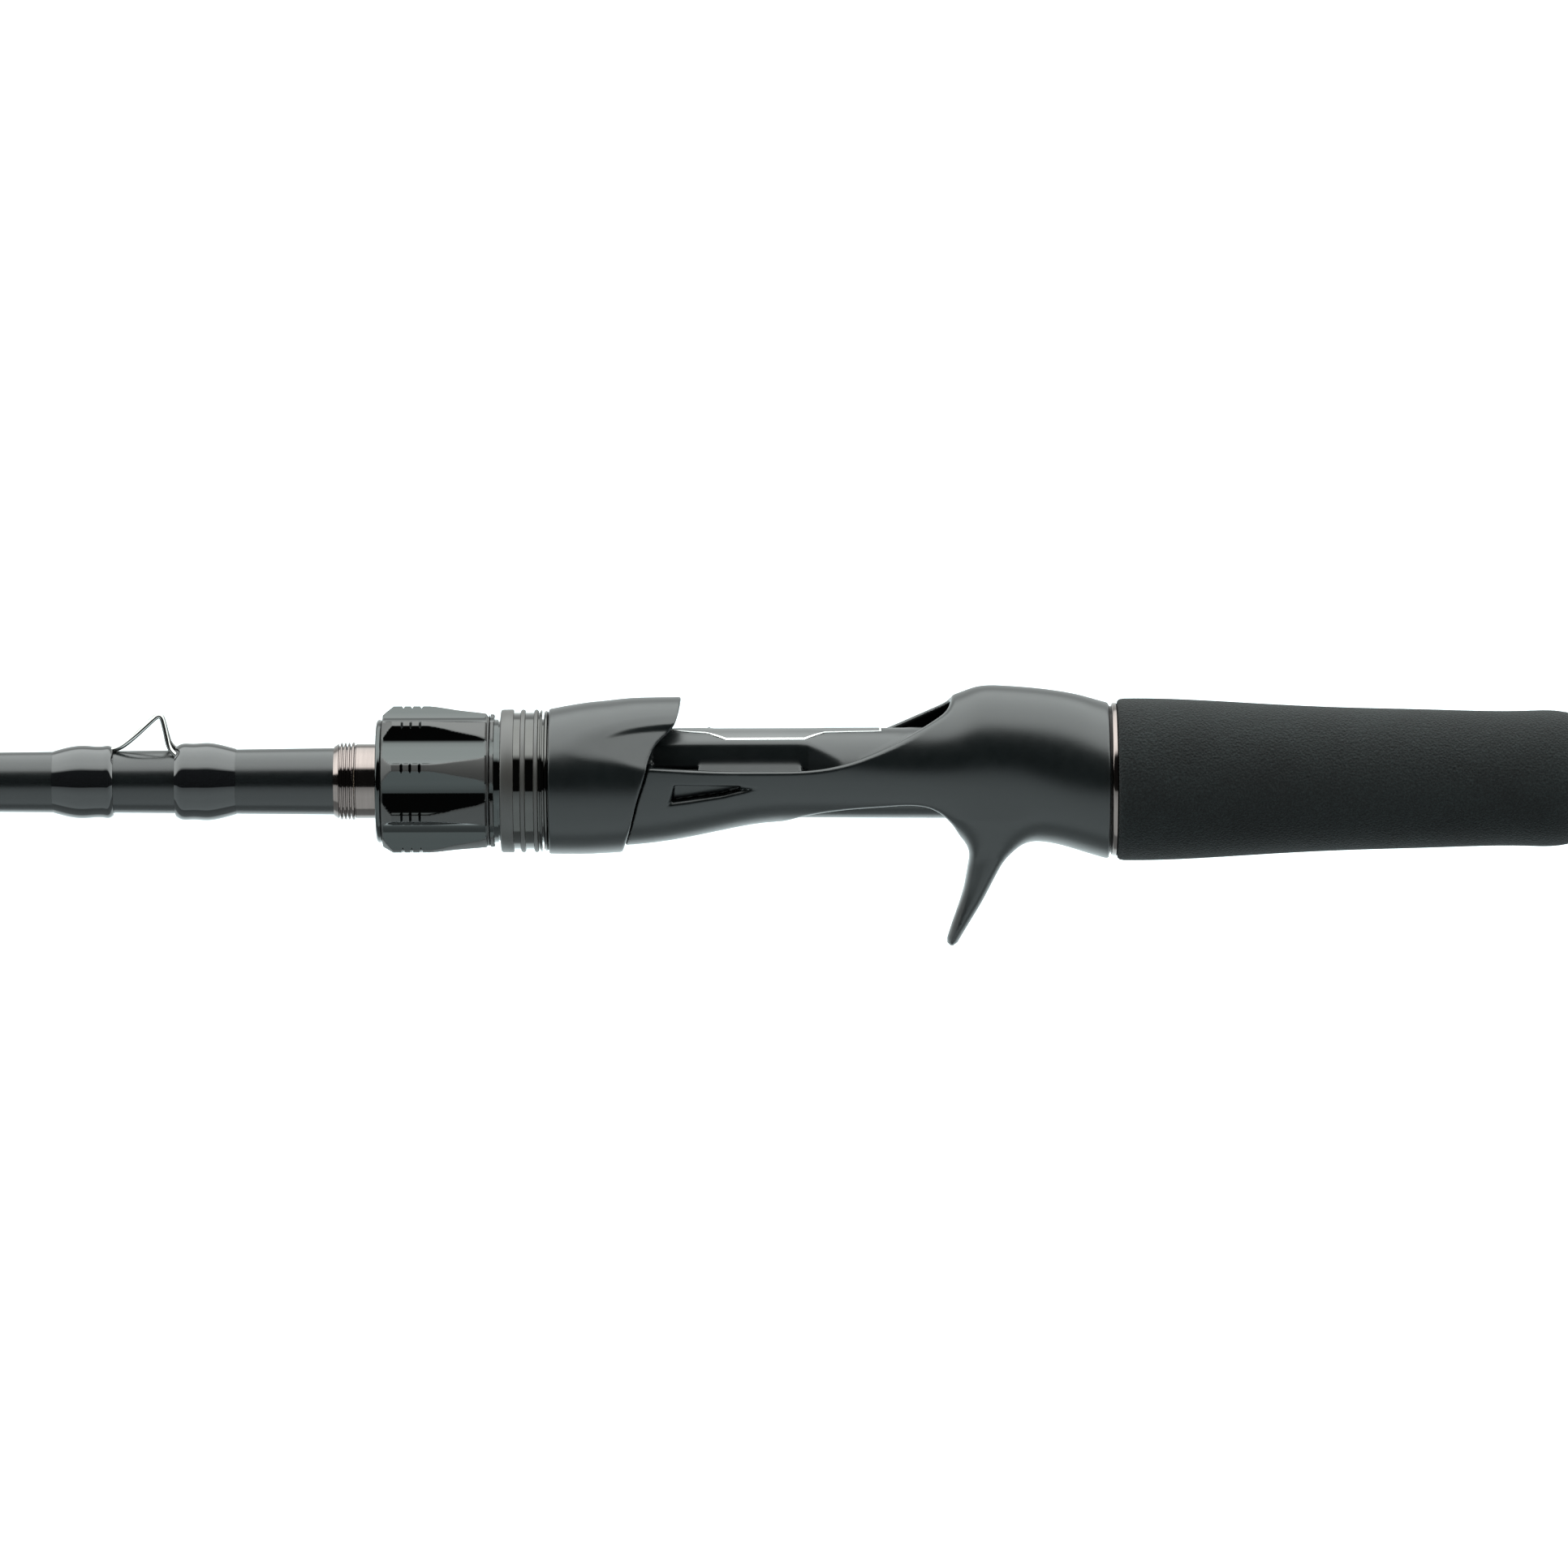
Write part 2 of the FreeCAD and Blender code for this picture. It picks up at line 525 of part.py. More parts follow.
def make_tip_top():
    """Tip guide: a tube on the blank's end with a ring held above it by two legs."""
    end = BLANK_STATIONS[-1][0]
    sleeve_start = -end + TIP_SLEEVE_LENGTH
    closed_end = -end - 0.6
    core = 0.02
    sleeve = lathe([(sleeve_start, TIP_BORE + 0.05), (sleeve_start, TIP_SLEEVE_RADIUS),
                    (closed_end, TIP_SLEEVE_RADIUS), (closed_end, core), (-end - 0.02, core),
                    (-end - 0.02, TIP_BORE)])
    ring_outer = TIP_RING_RADIUS + RING_SECTION
    x = -ROD_LENGTH + FRAME_WIDTH / 2
    centre_z = TIP_SLEEVE_RADIUS + ring_outer + 0.6
    band = ring_band(x, centre_z, ring_outer + FRAME_BAND)
    ring = ring_torus(x, centre_z, TIP_RING_RADIUS)
    legs = []
    for side in (-1, 1):
        shoulder = Vector(x, side * (ring_outer + 0.1), centre_z - 0.8)
        root = Vector(-end + 8.0, side * 0.7, TIP_SLEEVE_RADIUS * 0.85)
        legs.append(wire_path([shoulder, root, root + Vector(1.0, 0, -0.1)], LEG_RADIUS))
    saddle = Part.makeBox(2.6, 1.2, 1.1, Vector(-ROD_LENGTH + 0.1, -0.6, TIP_SLEEVE_RADIUS - 0.6))
    frame = band.cut(ring).fuse([sleeve, saddle] + legs)
    frame = frame.cut(disc(-end, -end + 2 * REACH, TIP_BORE))
    near = end - TIP_SLEEVE_LENGTH
    far = near - 8.0
    wrap = lathe([(-near, blank_radius(near) + FIT), (-near, TIP_SLEEVE_RADIUS + 0.05),
                  (-far, blank_radius(far) + 0.2), (-far, blank_radius(far) + FIT)])
    return frame.cut(ring).removeSplitter(), ring, wrap.cut(frame)


def make_root():
    """Everything that is glued to the blank."""
    export("blank", make_blank())
    export("rear_arbor", make_arbor(20.0, 2.0, 7.2))
    export("front_arbor", make_arbor(114.5, 91.0, BARREL_BORE))
    export("seat_body", make_seat_body())
    export("seat_saddle", make_plate())
    export("seat_outline", make_outline())
    export("rear_hood_liner", make_liner(REAR_FOOT_SPACE, 13.0, 23.0))
    export("check_flanges", make_check_flanges())
    check_bore = blank_radius(SEAT_REAR + BARREL_END) + FIT
    export("check_tube", tube(at(120.49), at(BARREL_END + 0.05), 6.0, check_bore))
    keeper = make_keeper()
    export("hook_keeper", keeper)
    export("keeper_wrap_front", make_keeper_wrap(*KEEPER_WRAPS[0], [keeper]))
    export("keeper_wrap_rear", make_keeper_wrap(*KEEPER_WRAPS[1], [keeper]))


def make_grips():
    """Split grip, its rings and the butt."""
    bore = blank_radius(REAR_GRIP[0]) + 0.02
    black = [(at(-0.01), bore), (at(-0.01), 11.9), (at(-0.2), 12.0), (at(-0.3), 11.7), (at(-0.3), bore)]
    export("trim_ring_black", lathe(black))
    metal = [(at(-0.31), bore), (at(-0.31), 12.0), (at(-0.5), 12.3), (at(-1.1), 12.3), (at(-1.29), 12.0),
             (at(-1.29), bore)]
    export("trim_ring_metal", lathe(metal))
    export("front_grip", make_grip(*FRONT_GRIP, [(0.0, 8.6), (0.02, 10.0), (0.06, 10.7), (0.3, 11.0),
                                                 (0.6, 11.5), (0.85, 12.7), (0.95, 13.0), (0.985, 12.9),
                                                 (1.0, 12.5)]))
    export("front_grip_ring", tube(-FRONT_GRIP[0] + FIT, -FRONT_GRIP[0] + RING_LENGTH, 8.4, bore))
    export("rear_grip", make_grip(*REAR_GRIP, [(0.0, 11.6), (0.015, 12.6), (0.05, 13.2), (0.3, 13.0),
                                               (0.6, 11.9), (0.85, 10.9), (0.96, 10.4), (0.99, 9.7),
                                               (1.0, 8.8)]))
    export("rear_grip_ring", tube(-REAR_GRIP[1] - RING_LENGTH, -REAR_GRIP[1] - FIT, 8.4, bore))
    export("butt_ring", tube(-REAR_GRIP[0] + FIT, -CAP_LENGTH - FIT, 11.8, bore))
    cap = [(0.0, 0.0), (0.0, 9.5), (-0.8, 11.2), (-2.5, 12.2), (-CAP_LENGTH, 12.2), (-CAP_LENGTH, bore),
           (-3.9, bore), (-3.9, 0.0)]
    export("butt_cap", lathe(cap))
    export("balance_weight", disc(-6.0, -26.0, 5.5))


def make_guides():
    """All line guides, the tip guide and their thread wraps."""
    for number, spec in enumerate(GUIDES, 1):
        frame, ring, starts, directions = make_guide(*spec)
        export("guide_%d_frame" % number, frame)
        export("guide_%d_ring" % number, ring)
        export("guide_%d_wraps" % number, make_guide_wraps(starts, directions, frame))
    frame, ring, wrap = make_tip_top()
    export("tip_top_frame", frame)
    export("tip_top_ring", ring)
    export("tip_top_wrap", wrap)


def make_hood():
    """Sliding hood and what travels with it."""
    export("hood_shell", make_hood_shell())
    export("hood_cushion", make_liner(FRONT_FOOT_SPACE, 70.5, 79.0))
    export("hood_collar", make_hood_collar())
    export("hood_trim_ring", tube(at(90.3), at(89.65), 11.25, 9.91))
    export("retaining_ring", make_retaining_ring())


def make_nut():
    """Lock nut that drives the hood."""
    export("nut_shell", make_nut_shell())
    front = [(at(117.2), 8.9), (at(117.2), 9.3), (at(116.9), 9.7), (at(116.5), 9.9), (at(116.21), 9.9),
             (at(116.21), NUT_BORE), (at(117.0), NUT_BORE)]
    export("nut_front_ring", lathe(front))
    export("nut_thread_insert", make_nut_insert())
    export("nut_rear_lip", make_nut_rear_lip())


make_root()
make_grips()
make_guides()
make_hood()
make_nut()
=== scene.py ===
import json
import math

import bmesh
import bpy
import numpy as np
import openvdb
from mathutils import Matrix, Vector


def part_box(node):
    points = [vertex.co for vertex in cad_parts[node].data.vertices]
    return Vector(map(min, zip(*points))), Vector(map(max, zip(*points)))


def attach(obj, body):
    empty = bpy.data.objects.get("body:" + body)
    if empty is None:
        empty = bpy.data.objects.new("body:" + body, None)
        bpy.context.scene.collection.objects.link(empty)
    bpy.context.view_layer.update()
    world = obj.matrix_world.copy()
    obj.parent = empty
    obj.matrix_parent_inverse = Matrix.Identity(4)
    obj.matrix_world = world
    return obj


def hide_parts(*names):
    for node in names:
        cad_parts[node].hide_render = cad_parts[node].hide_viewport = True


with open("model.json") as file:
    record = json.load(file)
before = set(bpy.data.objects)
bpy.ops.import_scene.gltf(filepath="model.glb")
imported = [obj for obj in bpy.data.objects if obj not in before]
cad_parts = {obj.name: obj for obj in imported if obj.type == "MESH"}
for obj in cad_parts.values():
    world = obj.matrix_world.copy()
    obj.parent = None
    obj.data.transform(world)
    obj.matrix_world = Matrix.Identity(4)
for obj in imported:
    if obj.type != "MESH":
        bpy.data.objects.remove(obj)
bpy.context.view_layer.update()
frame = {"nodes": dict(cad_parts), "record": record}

# The rod lies along X with its tip at -X; +Z is the side of the reel and the guides. Shapes are worked
# out in millimetres and written in metres.
MM = 0.001
SEAT_REAR = -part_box("seat_body")[1].x / MM
TURN_STEPS = 144


def node_mm(node):
    """Lowest and highest corner of a CAD node, in millimetres."""
    low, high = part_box(node)
    return low / MM, high / MM


def at(ahead):
    """X, in millimetres, of a point this far ahead of the reel seat's rear end."""
    return -(SEAT_REAR + ahead)


# ---------------------------------------------------------------- materials

def new_material(name, color, roughness, metallic=0.0, coat=0.0, coat_roughness=0.05, specular=0.5):
    """Material with its constant values set on the shader; returns it with its tree and shader."""
    material = bpy.data.materials.new(name)
    material.use_nodes = True
    tree = material.node_tree
    shader = tree.nodes["Principled BSDF"]
    shader.inputs["Base Color"].default_value = (*color, 1.0)
    shader.inputs["Roughness"].default_value = roughness
    shader.inputs["Metallic"].default_value = metallic
    shader.inputs["Coat Weight"].default_value = coat
    shader.inputs["Coat Roughness"].default_value = coat_roughness
    shader.inputs["Specular IOR Level"].default_value = specular
    return material, tree, shader


def object_position(tree, stretch=(1.0, 1.0, 1.0)):
    """Texture position in millimetres, stretched per axis."""
    source = tree.nodes.new("ShaderNodeTexCoord")
    mapping = tree.nodes.new("ShaderNodeMapping")
    mapping.inputs["Scale"].default_value = [axis / MM for axis in stretch]
    tree.links.new(source.outputs["Object"], mapping.inputs["Vector"])
    return mapping.outputs["Vector"]


def noise(tree, position, scale, detail=2.0, rough=0.5):
    """Noise of the given number of cells per millimetre."""
    node = tree.nodes.new("ShaderNodeTexNoise")
    node.inputs["Scale"].default_value = scale
    node.inputs["Detail"].default_value = detail
    node.inputs["Roughness"].default_value = rough
    tree.links.new(position, node.inputs["Vector"])
    return node.outputs["Fac"]


def spread(tree, value, low, high, source=(0.3, 0.7)):
    """Value brought from one range to another."""
    node = tree.nodes.new("ShaderNodeMapRange")
    node.inputs["From Min"].default_value = source[0]
    node.inputs["From Max"].default_value = source[1]
    node.inputs["To Min"].default_value = low
    node.inputs["To Max"].default_value = high
    tree.links.new(value, node.inputs["Value"])
    return node.outputs["Result"]


def ramp(tree, value, stops):
    """Colour over a value."""
    node = tree.nodes.new("ShaderNodeValToRGB")
    elements = node.color_ramp.elements
    while len(elements) < len(stops):
        elements.new(0.5)
    for element, (place, color) in zip(elements, stops):
        element.position = place
        element.color = (*color, 1.0)
    tree.links.new(value, node.inputs["Fac"])
    return node.outputs["Color"]


def bump(tree, height, distance_mm):
    """Bump of the given height; returns the normal."""
    node = tree.nodes.new("ShaderNodeBump")
    node.inputs["Distance"].default_value = distance_mm * MM
    tree.links.new(height, node.inputs["Height"])
    return node.outputs["Normal"]


def math_node(tree, operation, first, second):
    """Math node on two values, either of which may be a number."""
    node = tree.nodes.new("ShaderNodeMath")
    node.operation = operation
    for socket, value in zip(node.inputs, (first, second)):
        if isinstance(value, float):
            socket.default_value = value
        else:
            tree.links.new(value, socket)
    return node.outputs["Value"]


def scaled(color, factor):
    """Colour made lighter or darker."""
    return tuple(channel * factor for channel in color)


def grained(name, color, roughness, grain, depth, contrast=0.12, **more):
    """Moulded or painted surface: fine grain in its relief, mottled colour and gloss."""
    material, tree, shader = new_material(name, color, roughness, **more)
    position = object_position(tree)
    cloud = noise(tree, position, 0.15, 3.0)
    tint = ramp(tree, cloud, [(0.3, scaled(color, 1 - contrast)), (0.7, scaled(color, 1 + contrast))])
    tree.links.new(tint, shader.inputs["Base Color"])
    gloss = spread(tree, noise(tree, position, 0.5, 3.0), roughness * 0.94, roughness * 1.06)
    tree.links.new(gloss, shader.inputs["Roughness"])
    relief = bump(tree, noise(tree, position, grain, 2.0), depth)
    tree.links.new(relief, shader.inputs["Normal"])
    return material


def turned(name, color, roughness, lines, depth, **more):
    """Turned metal or plating: fine circumferential tool marks."""
    material, tree, shader = new_material(name, color, roughness, **more)
    position = object_position(tree, (1.0, 0.03, 0.03))
    marks = noise(tree, position, lines, 3.0, 0.6)
    tint = ramp(tree, marks, [(0.3, scaled(color, 0.92)), (0.7, scaled(color, 1.06))])
    tree.links.new(tint, shader.inputs["Base Color"])
    gloss = spread(tree, marks, roughness * 0.85, roughness * 1.15)
    tree.links.new(gloss, shader.inputs["Roughness"])
    tree.links.new(bump(tree, marks, depth), shader.inputs["Normal"])
    return material


def carbon_material():
    """Satin clear coat over dark carbon cloth with a faint spiral of tape."""
    color = (0.0028, 0.0036, 0.0038)
    material, tree, shader = new_material("carbon_satin", color, 0.25, specular=0.4)
    position = object_position(tree)
    fibre = noise(tree, object_position(tree, (0.06, 2.2, 2.2)), 3.0, 3.0)
    tint = ramp(tree, fibre, [(0.3, scaled(color, 0.75)), (0.7, scaled(color, 1.35))])
    tree.links.new(tint, shader.inputs["Base Color"])
    gloss = spread(tree, noise(tree, position, 0.8, 3.0), 0.235, 0.265)
    tree.links.new(gloss, shader.inputs["Roughness"])
    tree.links.new(bump(tree, noise(tree, position, 5.0), 0.002), shader.inputs["Normal"])
    return material


def epoxy_material():
    """Glossy epoxy over tightly wound black thread."""
    color = (0.003, 0.0032, 0.0036)
    material, tree, shader = new_material("epoxy_over_thread", color, 0.5, coat=1.0, coat_roughness=0.03,
                                          specular=0.0)
    turns = tree.nodes.new("ShaderNodeTexWave")
    turns.bands_direction = "X"
    turns.inputs["Scale"].default_value = 1.1
    turns.inputs["Distortion"].default_value = 0.6
    turns.inputs["Detail Scale"].default_value = 0.5
    tree.links.new(object_position(tree), turns.inputs["Vector"])
    tint = ramp(tree, turns.outputs["Fac"], [(0.0, scaled(color, 0.5)), (1.0, scaled(color, 1.7))])
    tree.links.new(tint, shader.inputs["Base Color"])
    tree.links.new(bump(tree, turns.outputs["Fac"], 0.02), shader.inputs["Normal"])
    return material


def foam_material(name, color):
    """Fine-cell EVA foam: speckled, matt and slightly open-pored."""
    material, tree, shader = new_material(name, color, 0.86, specular=0.19)
    shader.inputs["Sheen Weight"].default_value = 0.03
    shader.inputs["Sheen Roughness"].default_value = 0.5
    position = object_position(tree)
    cells = tree.nodes.new("ShaderNodeTexVoronoi")
    cells.inputs["Scale"].default_value = 2.6
    tree.links.new(position, cells.inputs["Vector"])
    speckle = noise(tree, position, 3.2, 3.0, 0.7)
    cloud = noise(tree, position, 0.12, 2.0)
    both = tree.nodes.new("ShaderNodeMath")
    both.operation = "MULTIPLY_ADD"
    both.inputs[1].default_value = 0.25
    tree.links.new(cloud, both.inputs[0])
    tree.links.new(speckle, both.inputs[2])
    tint = ramp(tree, both.outputs["Value"],
                [(0.46, scaled(color, 0.25)), (0.6, color), (0.82, scaled(color, 3.2))])
    tree.links.new(tint, shader.inputs["Base Color"])
    depth = tree.nodes.new("ShaderNodeMath")
    depth.operation = "ADD"
    tree.links.new(cells.outputs["Distance"], depth.inputs[0])
    tree.links.new(speckle, depth.inputs[1])
    tree.links.new(bump(tree, depth.outputs["Value"], 0.14), shader.inputs["Normal"])
    return material


def plated(name, mirror, brushed_color, brushed_roughness):
    """Dark mirror plating, brushed where the mesh says so."""
    mirror_roughness = 0.06
    material, tree, shader = new_material(name, mirror, mirror_roughness, metallic=1.0)
    brushed = tree.nodes.new("ShaderNodeAttribute")
    brushed.attribute_name = "brushed"
    share = brushed.outputs["Fac"]
    marks = noise(tree, object_position(tree, (1.0, 0.05, 0.05)), 6.0, 3.0, 0.6)
    tree.links.new(ramp(tree, share, [(0.0, mirror), (1.0, brushed_color)]), shader.inputs["Base Color"])
    gloss = spread(tree, share, mirror_roughness, brushed_roughness, (0.0, 1.0))
    tree.links.new(gloss, shader.inputs["Roughness"])
    tree.links.new(spread(tree, share, 1.0, 0.0, (0.0, 1.0)), shader.inputs["Metallic"])
    tree.links.new(bump(tree, marks, 0.0004), shader.inputs["Normal"])
    return material


def make_materials():
    """One finish per material slot of the record."""
    return {
        "carbon": carbon_material(),
        "arbor_foam": foam_material("arbor_foam", (0.4, 0.37, 0.3)),
        "seat_nylon": grained("seat_satin", (0.0014, 0.0023, 0.0025), 0.3, 6.0, 0.003, specular=0.4),
        "saddle_plate": grained("saddle_satin", (0.03, 0.031, 0.031), 0.34, 5.0, 0.003),
        "silver_trim": turned("silver_trim", (0.86, 0.86, 0.85), 0.2, 4.0, 0.001, metallic=1.0),
        "cushion_rubber": grained("cushion_rubber", (0.02, 0.02, 0.02), 0.7, 3.0, 0.02),
        "rose_metal": turned("rose_gunmetal", (0.136, 0.1145, 0.108), 0.1, 5.0, 0.0003, metallic=1.0),
        "satin_metal": plated("satin_warm_grey", (0.052, 0.051, 0.049), (0.0185, 0.0165, 0.0145), 0.42),
        "bright_wire": grained("bright_wire", (0.3, 0.3, 0.29), 0.2, 2.0, 0.001, metallic=1.0),
        "epoxy_wrap": epoxy_material(),
        "black_trim": grained("black_trim", (0.006, 0.006, 0.006), 0.15, 2.0, 0.001),
        "eva_foam": foam_material("eva_foam", (0.0021, 0.0029, 0.0029)),
        "butt_rubber": grained("butt_rubber", (0.022, 0.022, 0.022), 0.6, 2.5, 0.03),
        "weight_steel": turned("weight_steel", (0.5, 0.5, 0.5), 0.3, 4.0, 0.004, metallic=1.0),
        "spring_steel": turned("spring_steel", (0.55, 0.55, 0.55), 0.2, 4.0, 0.002, metallic=1.0),
        "black_chrome": plated("black_chrome", (0.04, 0.0425, 0.042), (0.0105, 0.0092, 0.0083), 0.5),
        "brass_insert": turned("brass_insert", (0.75, 0.55, 0.22), 0.25, 4.0, 0.003, metallic=1.0),
        "guide_metal": grained("guide_plating", (0.12, 0.12, 0.125), 0.16, 3.0, 0.002, metallic=1.0),
        "ceramic": grained("black_ceramic", (0.012, 0.012, 0.012), 0.08, 2.0, 0.0005, coat=0.6),
    }


materials = make_materials()
node_slot = {part["node"]: part["material_slot"] for part in frame["record"]["subparts"]}
node_body = {node: body for body, nodes in frame["record"]["behaviour"]["bodies"].items() for node in nodes}


def paint_frame():
    """The CAD nodes that stay visible take the same finishes."""
    for name, piece in frame["nodes"].items():
        piece.data.materials.clear()
        piece.data.materials.append(materials[node_slot[name]])


# ---------------------------------------------------------------- mesh building

# Vertices closer than this, in metres, are merged
SAME_PLACE = 1e-7


def add_piece(name, vertices_mm, faces, node, sharp_degrees=35.0):
    """New smooth-shaded piece in the place of a CAD node, with the node's body and finish."""
    mesh = bpy.data.meshes.new(name)
    mesh.from_pydata((np.asarray(vertices_mm) * MM).tolist(), [], faces)
    work = bmesh.new()
    work.from_mesh(mesh)
    bmesh.ops.remove_doubles(work, verts=work.verts, dist=SAME_PLACE)
    bmesh.ops.recalc_face_normals(work, faces=work.faces)
    work.to_mesh(mesh)
    work.free()
    mesh.shade_smooth()
    mesh.set_sharp_from_angle(angle=math.radians(sharp_degrees))
    mesh.materials.append(materials[node_slot[node]])
    piece = bpy.data.objects.new(name, mesh)
    bpy.context.scene.collection.objects.link(piece)
    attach(piece, node_body[node])
    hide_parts(node)
    return piece


def lattice_faces(rows, columns, close_rows=True, close_columns=True):
    """Quads of a rows by columns lattice, closed into a ring either way."""
    faces = []
    for row in range(rows if close_rows else rows - 1):
        for column in range(columns if close_columns else columns - 1):
            next_row = (row + 1) % rows
            next_column = (column + 1) % columns
            faces.append((row * columns + column, row * columns + next_column,
                          next_row * columns + next_column, next_row * columns + column))
    return faces


def lathe(name, outline, node, steps=TURN_STEPS):
    """Piece turned about the rod's axis from a closed outline of (x, radius) in millimetres."""
    x, radius = np.array(outline, float).T
    angle = np.linspace(0, 2 * math.pi, steps, endpoint=False)
    vertices = np.stack([np.repeat(x[:, None], steps, 1), radius[:, None] * np.cos(angle),
                         radius[:, None] * np.sin(angle)], -1).reshape(-1, 3)
    return add_piece(name, vertices, lattice_faces(len(x), steps), node)


def arc(x, radius, size, start_degrees, end_degrees, steps):
    """Points of a small arc in an outline."""
    angles = np.radians(np.linspace(start_degrees, end_degrees, steps + 1))
    return [(x + size * math.cos(a), radius + size * math.sin(a)) for a in angles]


def spline(points):
    """Smooth function through (place, value) points, level beyond both ends."""
    x, y = np.array(points, float).T
    count = len(x)
    h = np.diff(x)
    system = np.eye(count)
    right = np.zeros(count)
    for i in range(1, count - 1):
        system[i, i - 1:i + 2] = h[i - 1], 2 * (h[i - 1] + h[i]), h[i]
        right[i] = 6 * ((y[i + 1] - y[i]) / h[i] - (y[i] - y[i - 1]) / h[i - 1])
    curvature = np.linalg.solve(system, right)

    def value(place):
        place = np.clip(place, x[0], x[-1])
        i = np.clip(np.searchsorted(x, place) - 1, 0, count - 2)
        a = (x[i + 1] - place) / h[i]
        b = 1 - a
        bend = ((a ** 3 - a) * curvature[i] + (b ** 3 - b) * curvature[i + 1]) * h[i] ** 2 / 6
        return a * y[i] + b * y[i + 1] + bend

    return value


def sweep(name, centre_mm, radius_mm, node):
    """Round wire along a smooth curve through the points, its ends capped flat."""
    curve = bpy.data.curves.new(name, "CURVE")
    curve.dimensions = "3D"
    curve.resolution_u = 8
    curve.bevel_depth = radius_mm * MM
    curve.bevel_resolution = 5
    curve.use_fill_caps = True
    line = curve.splines.new("NURBS")
    line.points.add(len(centre_mm) - 1)
    for point, place in zip(line.points, centre_mm):
        point.co = (*(Vector(place) * MM), 1.0)
    line.order_u = 3
    line.use_endpoint_u = True
    holder = bpy.data.objects.new(name + "_path", curve)
    bpy.context.scene.collection.objects.link(holder)
    bpy.context.view_layer.update()
    mesh = bpy.data.meshes.new_from_object(holder.evaluated_get(bpy.context.evaluated_depsgraph_get()))
    vertices = [v.co / MM for v in mesh.vertices]
    faces = [tuple(face.vertices) for face in mesh.polygons]
    bpy.data.objects.remove(holder)
    return add_piece(name, vertices, faces, node, 50.0)


# ---------------------------------------------------------------- moulded shapes as distance fields

def meet(a, b, soft):
    """Intersection of two fields, its edge rounded over the given width."""
    overlap = np.maximum(soft - np.abs(a - b), 0.0)
    return np.maximum(a, b) + overlap * overlap / (4 * soft)


def join(a, b, soft):
    """Union of two fields with a filleted corner."""
    return -meet(-a, -b, soft)


def carve(a, b, soft):
    """Field a without field b, with a rounded edge."""
    return meet(a, -b, soft)


def oval_field(y, z, half_width, top, bottom):
    """Field of a cross-section made of an upper and a lower half ellipse, widest at height 0."""
    height = np.where(z > 0, top, bottom)
    above_zero = 1e-6
    reach = np.sqrt((y / half_width) ** 2 + (z / height) ** 2) + above_zero
    slope = np.sqrt((y / half_width ** 2) ** 2 + (z / height ** 2) ** 2) + above_zero
    return reach * (reach - 1) / slope


def polygon_field(u, z, corners):
    """Signed distance to a closed side-view outline of (ahead, height); negative inside."""
    nearest = np.full(np.broadcast(u, z).shape, np.inf)
    inside = np.zeros(nearest.shape, bool)
    for (u0, z0), (u1, z1) in zip(corners, corners[1:] + corners[:1]):
        du, dz = u1 - u0, z1 - z0
        share = np.clip(((u - u0) * du + (z - z0) * dz) / (du * du + dz * dz), 0, 1)
        nearest = np.minimum(nearest, (u - u0 - share * du) ** 2 + (z - z0 - share * dz) ** 2)
        if dz != 0:
            crossing = (z0 > z) != (z1 > z)
            inside ^= crossing & (u < u0 + (z - z0) * du / dz)
    return np.where(inside, -1.0, 1.0) * np.sqrt(nearest)


def smooth_line(points, per_span=8):
    """Points of a smooth line through the given ones."""
    points = np.array(points, float)
    length = np.concatenate([[0], np.cumsum(np.linalg.norm(np.diff(points, axis=0), axis=1))])
    place = np.linspace(0, length[-1], per_span * (len(points) - 1) + 1)
    first = spline(list(zip(length, points[:, 0])))(place)
    second = spline(list(zip(length, points[:, 1])))(place)
    return list(zip(first.tolist(), second.tolist()))


def surface(name, field, low, high, step, node):
    """Piece whose surface is the zero of a field of (ahead, y, z), in millimetres."""
    axes = [np.arange(a, b + step, step) for a, b in zip(low, high)]
    u, y, z = np.meshgrid(*axes, indexing="ij", sparse=True)
    values = np.broadcast_to(field(u, y, z), [len(axis) for axis in axes]).astype(np.float32)
    far, outside = 2.5, 3.0
    grid = openvdb.FloatGrid(outside)
    grid.copyFromArray(np.ascontiguousarray(np.clip(values, -far, far)))
    points, quads = grid.convertToQuads(isovalue=0.0)
    points = points.astype(float) * step + np.array(low)
    # Draw the vertices onto the zero of the field, a short step at a time
    nudge, least_slope = 0.02, 0.2
    for _ in range(3):
        here = field(*points.T)
        slope = np.stack([(field(*(points + nudge * d).T) - here) / nudge for d in np.eye(3)], 1)
        shift = -here[:, None] * slope / np.maximum((slope ** 2).sum(1), least_slope)[:, None]
        points = points + np.clip(shift, -step / 3, step / 3)
    vertices = np.stack([at(points[:, 0]), points[:, 1], points[:, 2]], 1)
    return add_piece(name, vertices, [tuple(quad) for quad in quads.tolist()], node, 45.0)


# ---------------------------------------------------------------- reel seat

# Sections of the seat's outer skin: ahead, half width, top, bottom
HULL = [
    (-2.0, 12.4, 11.9, 13.2), (0.0, 12.4, 12.3, 12.75), (4.0, 11.7, 13.45, 11.6), (9.0, 10.9, 14.45, 10.2),
    (17.0, 10.5, 15.2, 9.6), (21.5, 10.45, 14.95, 8.9), (25.0, 10.4, 13.7, 8.0), (31.0, 10.2, 13.1, 6.8),
    (41.0, 9.9, 12.7, 6.5), (50.0, 9.8, 11.9, 6.5), (56.0, 9.9, 11.0, 6.9), (61.0, 10.0, 10.6, 7.8),
    (66.0, 10.1, 10.4, 8.85), (71.0, 10.2, 10.4, 9.75), (80.0, 10.4, 10.4, 10.6)]
hull_width = spline([(u, width) for u, width, top, bottom in HULL])
hull_top = spline([(u, top) for u, width, top, bottom in HULL])
hull_bottom = spline([(u, bottom) for u, width, top, bottom in HULL])
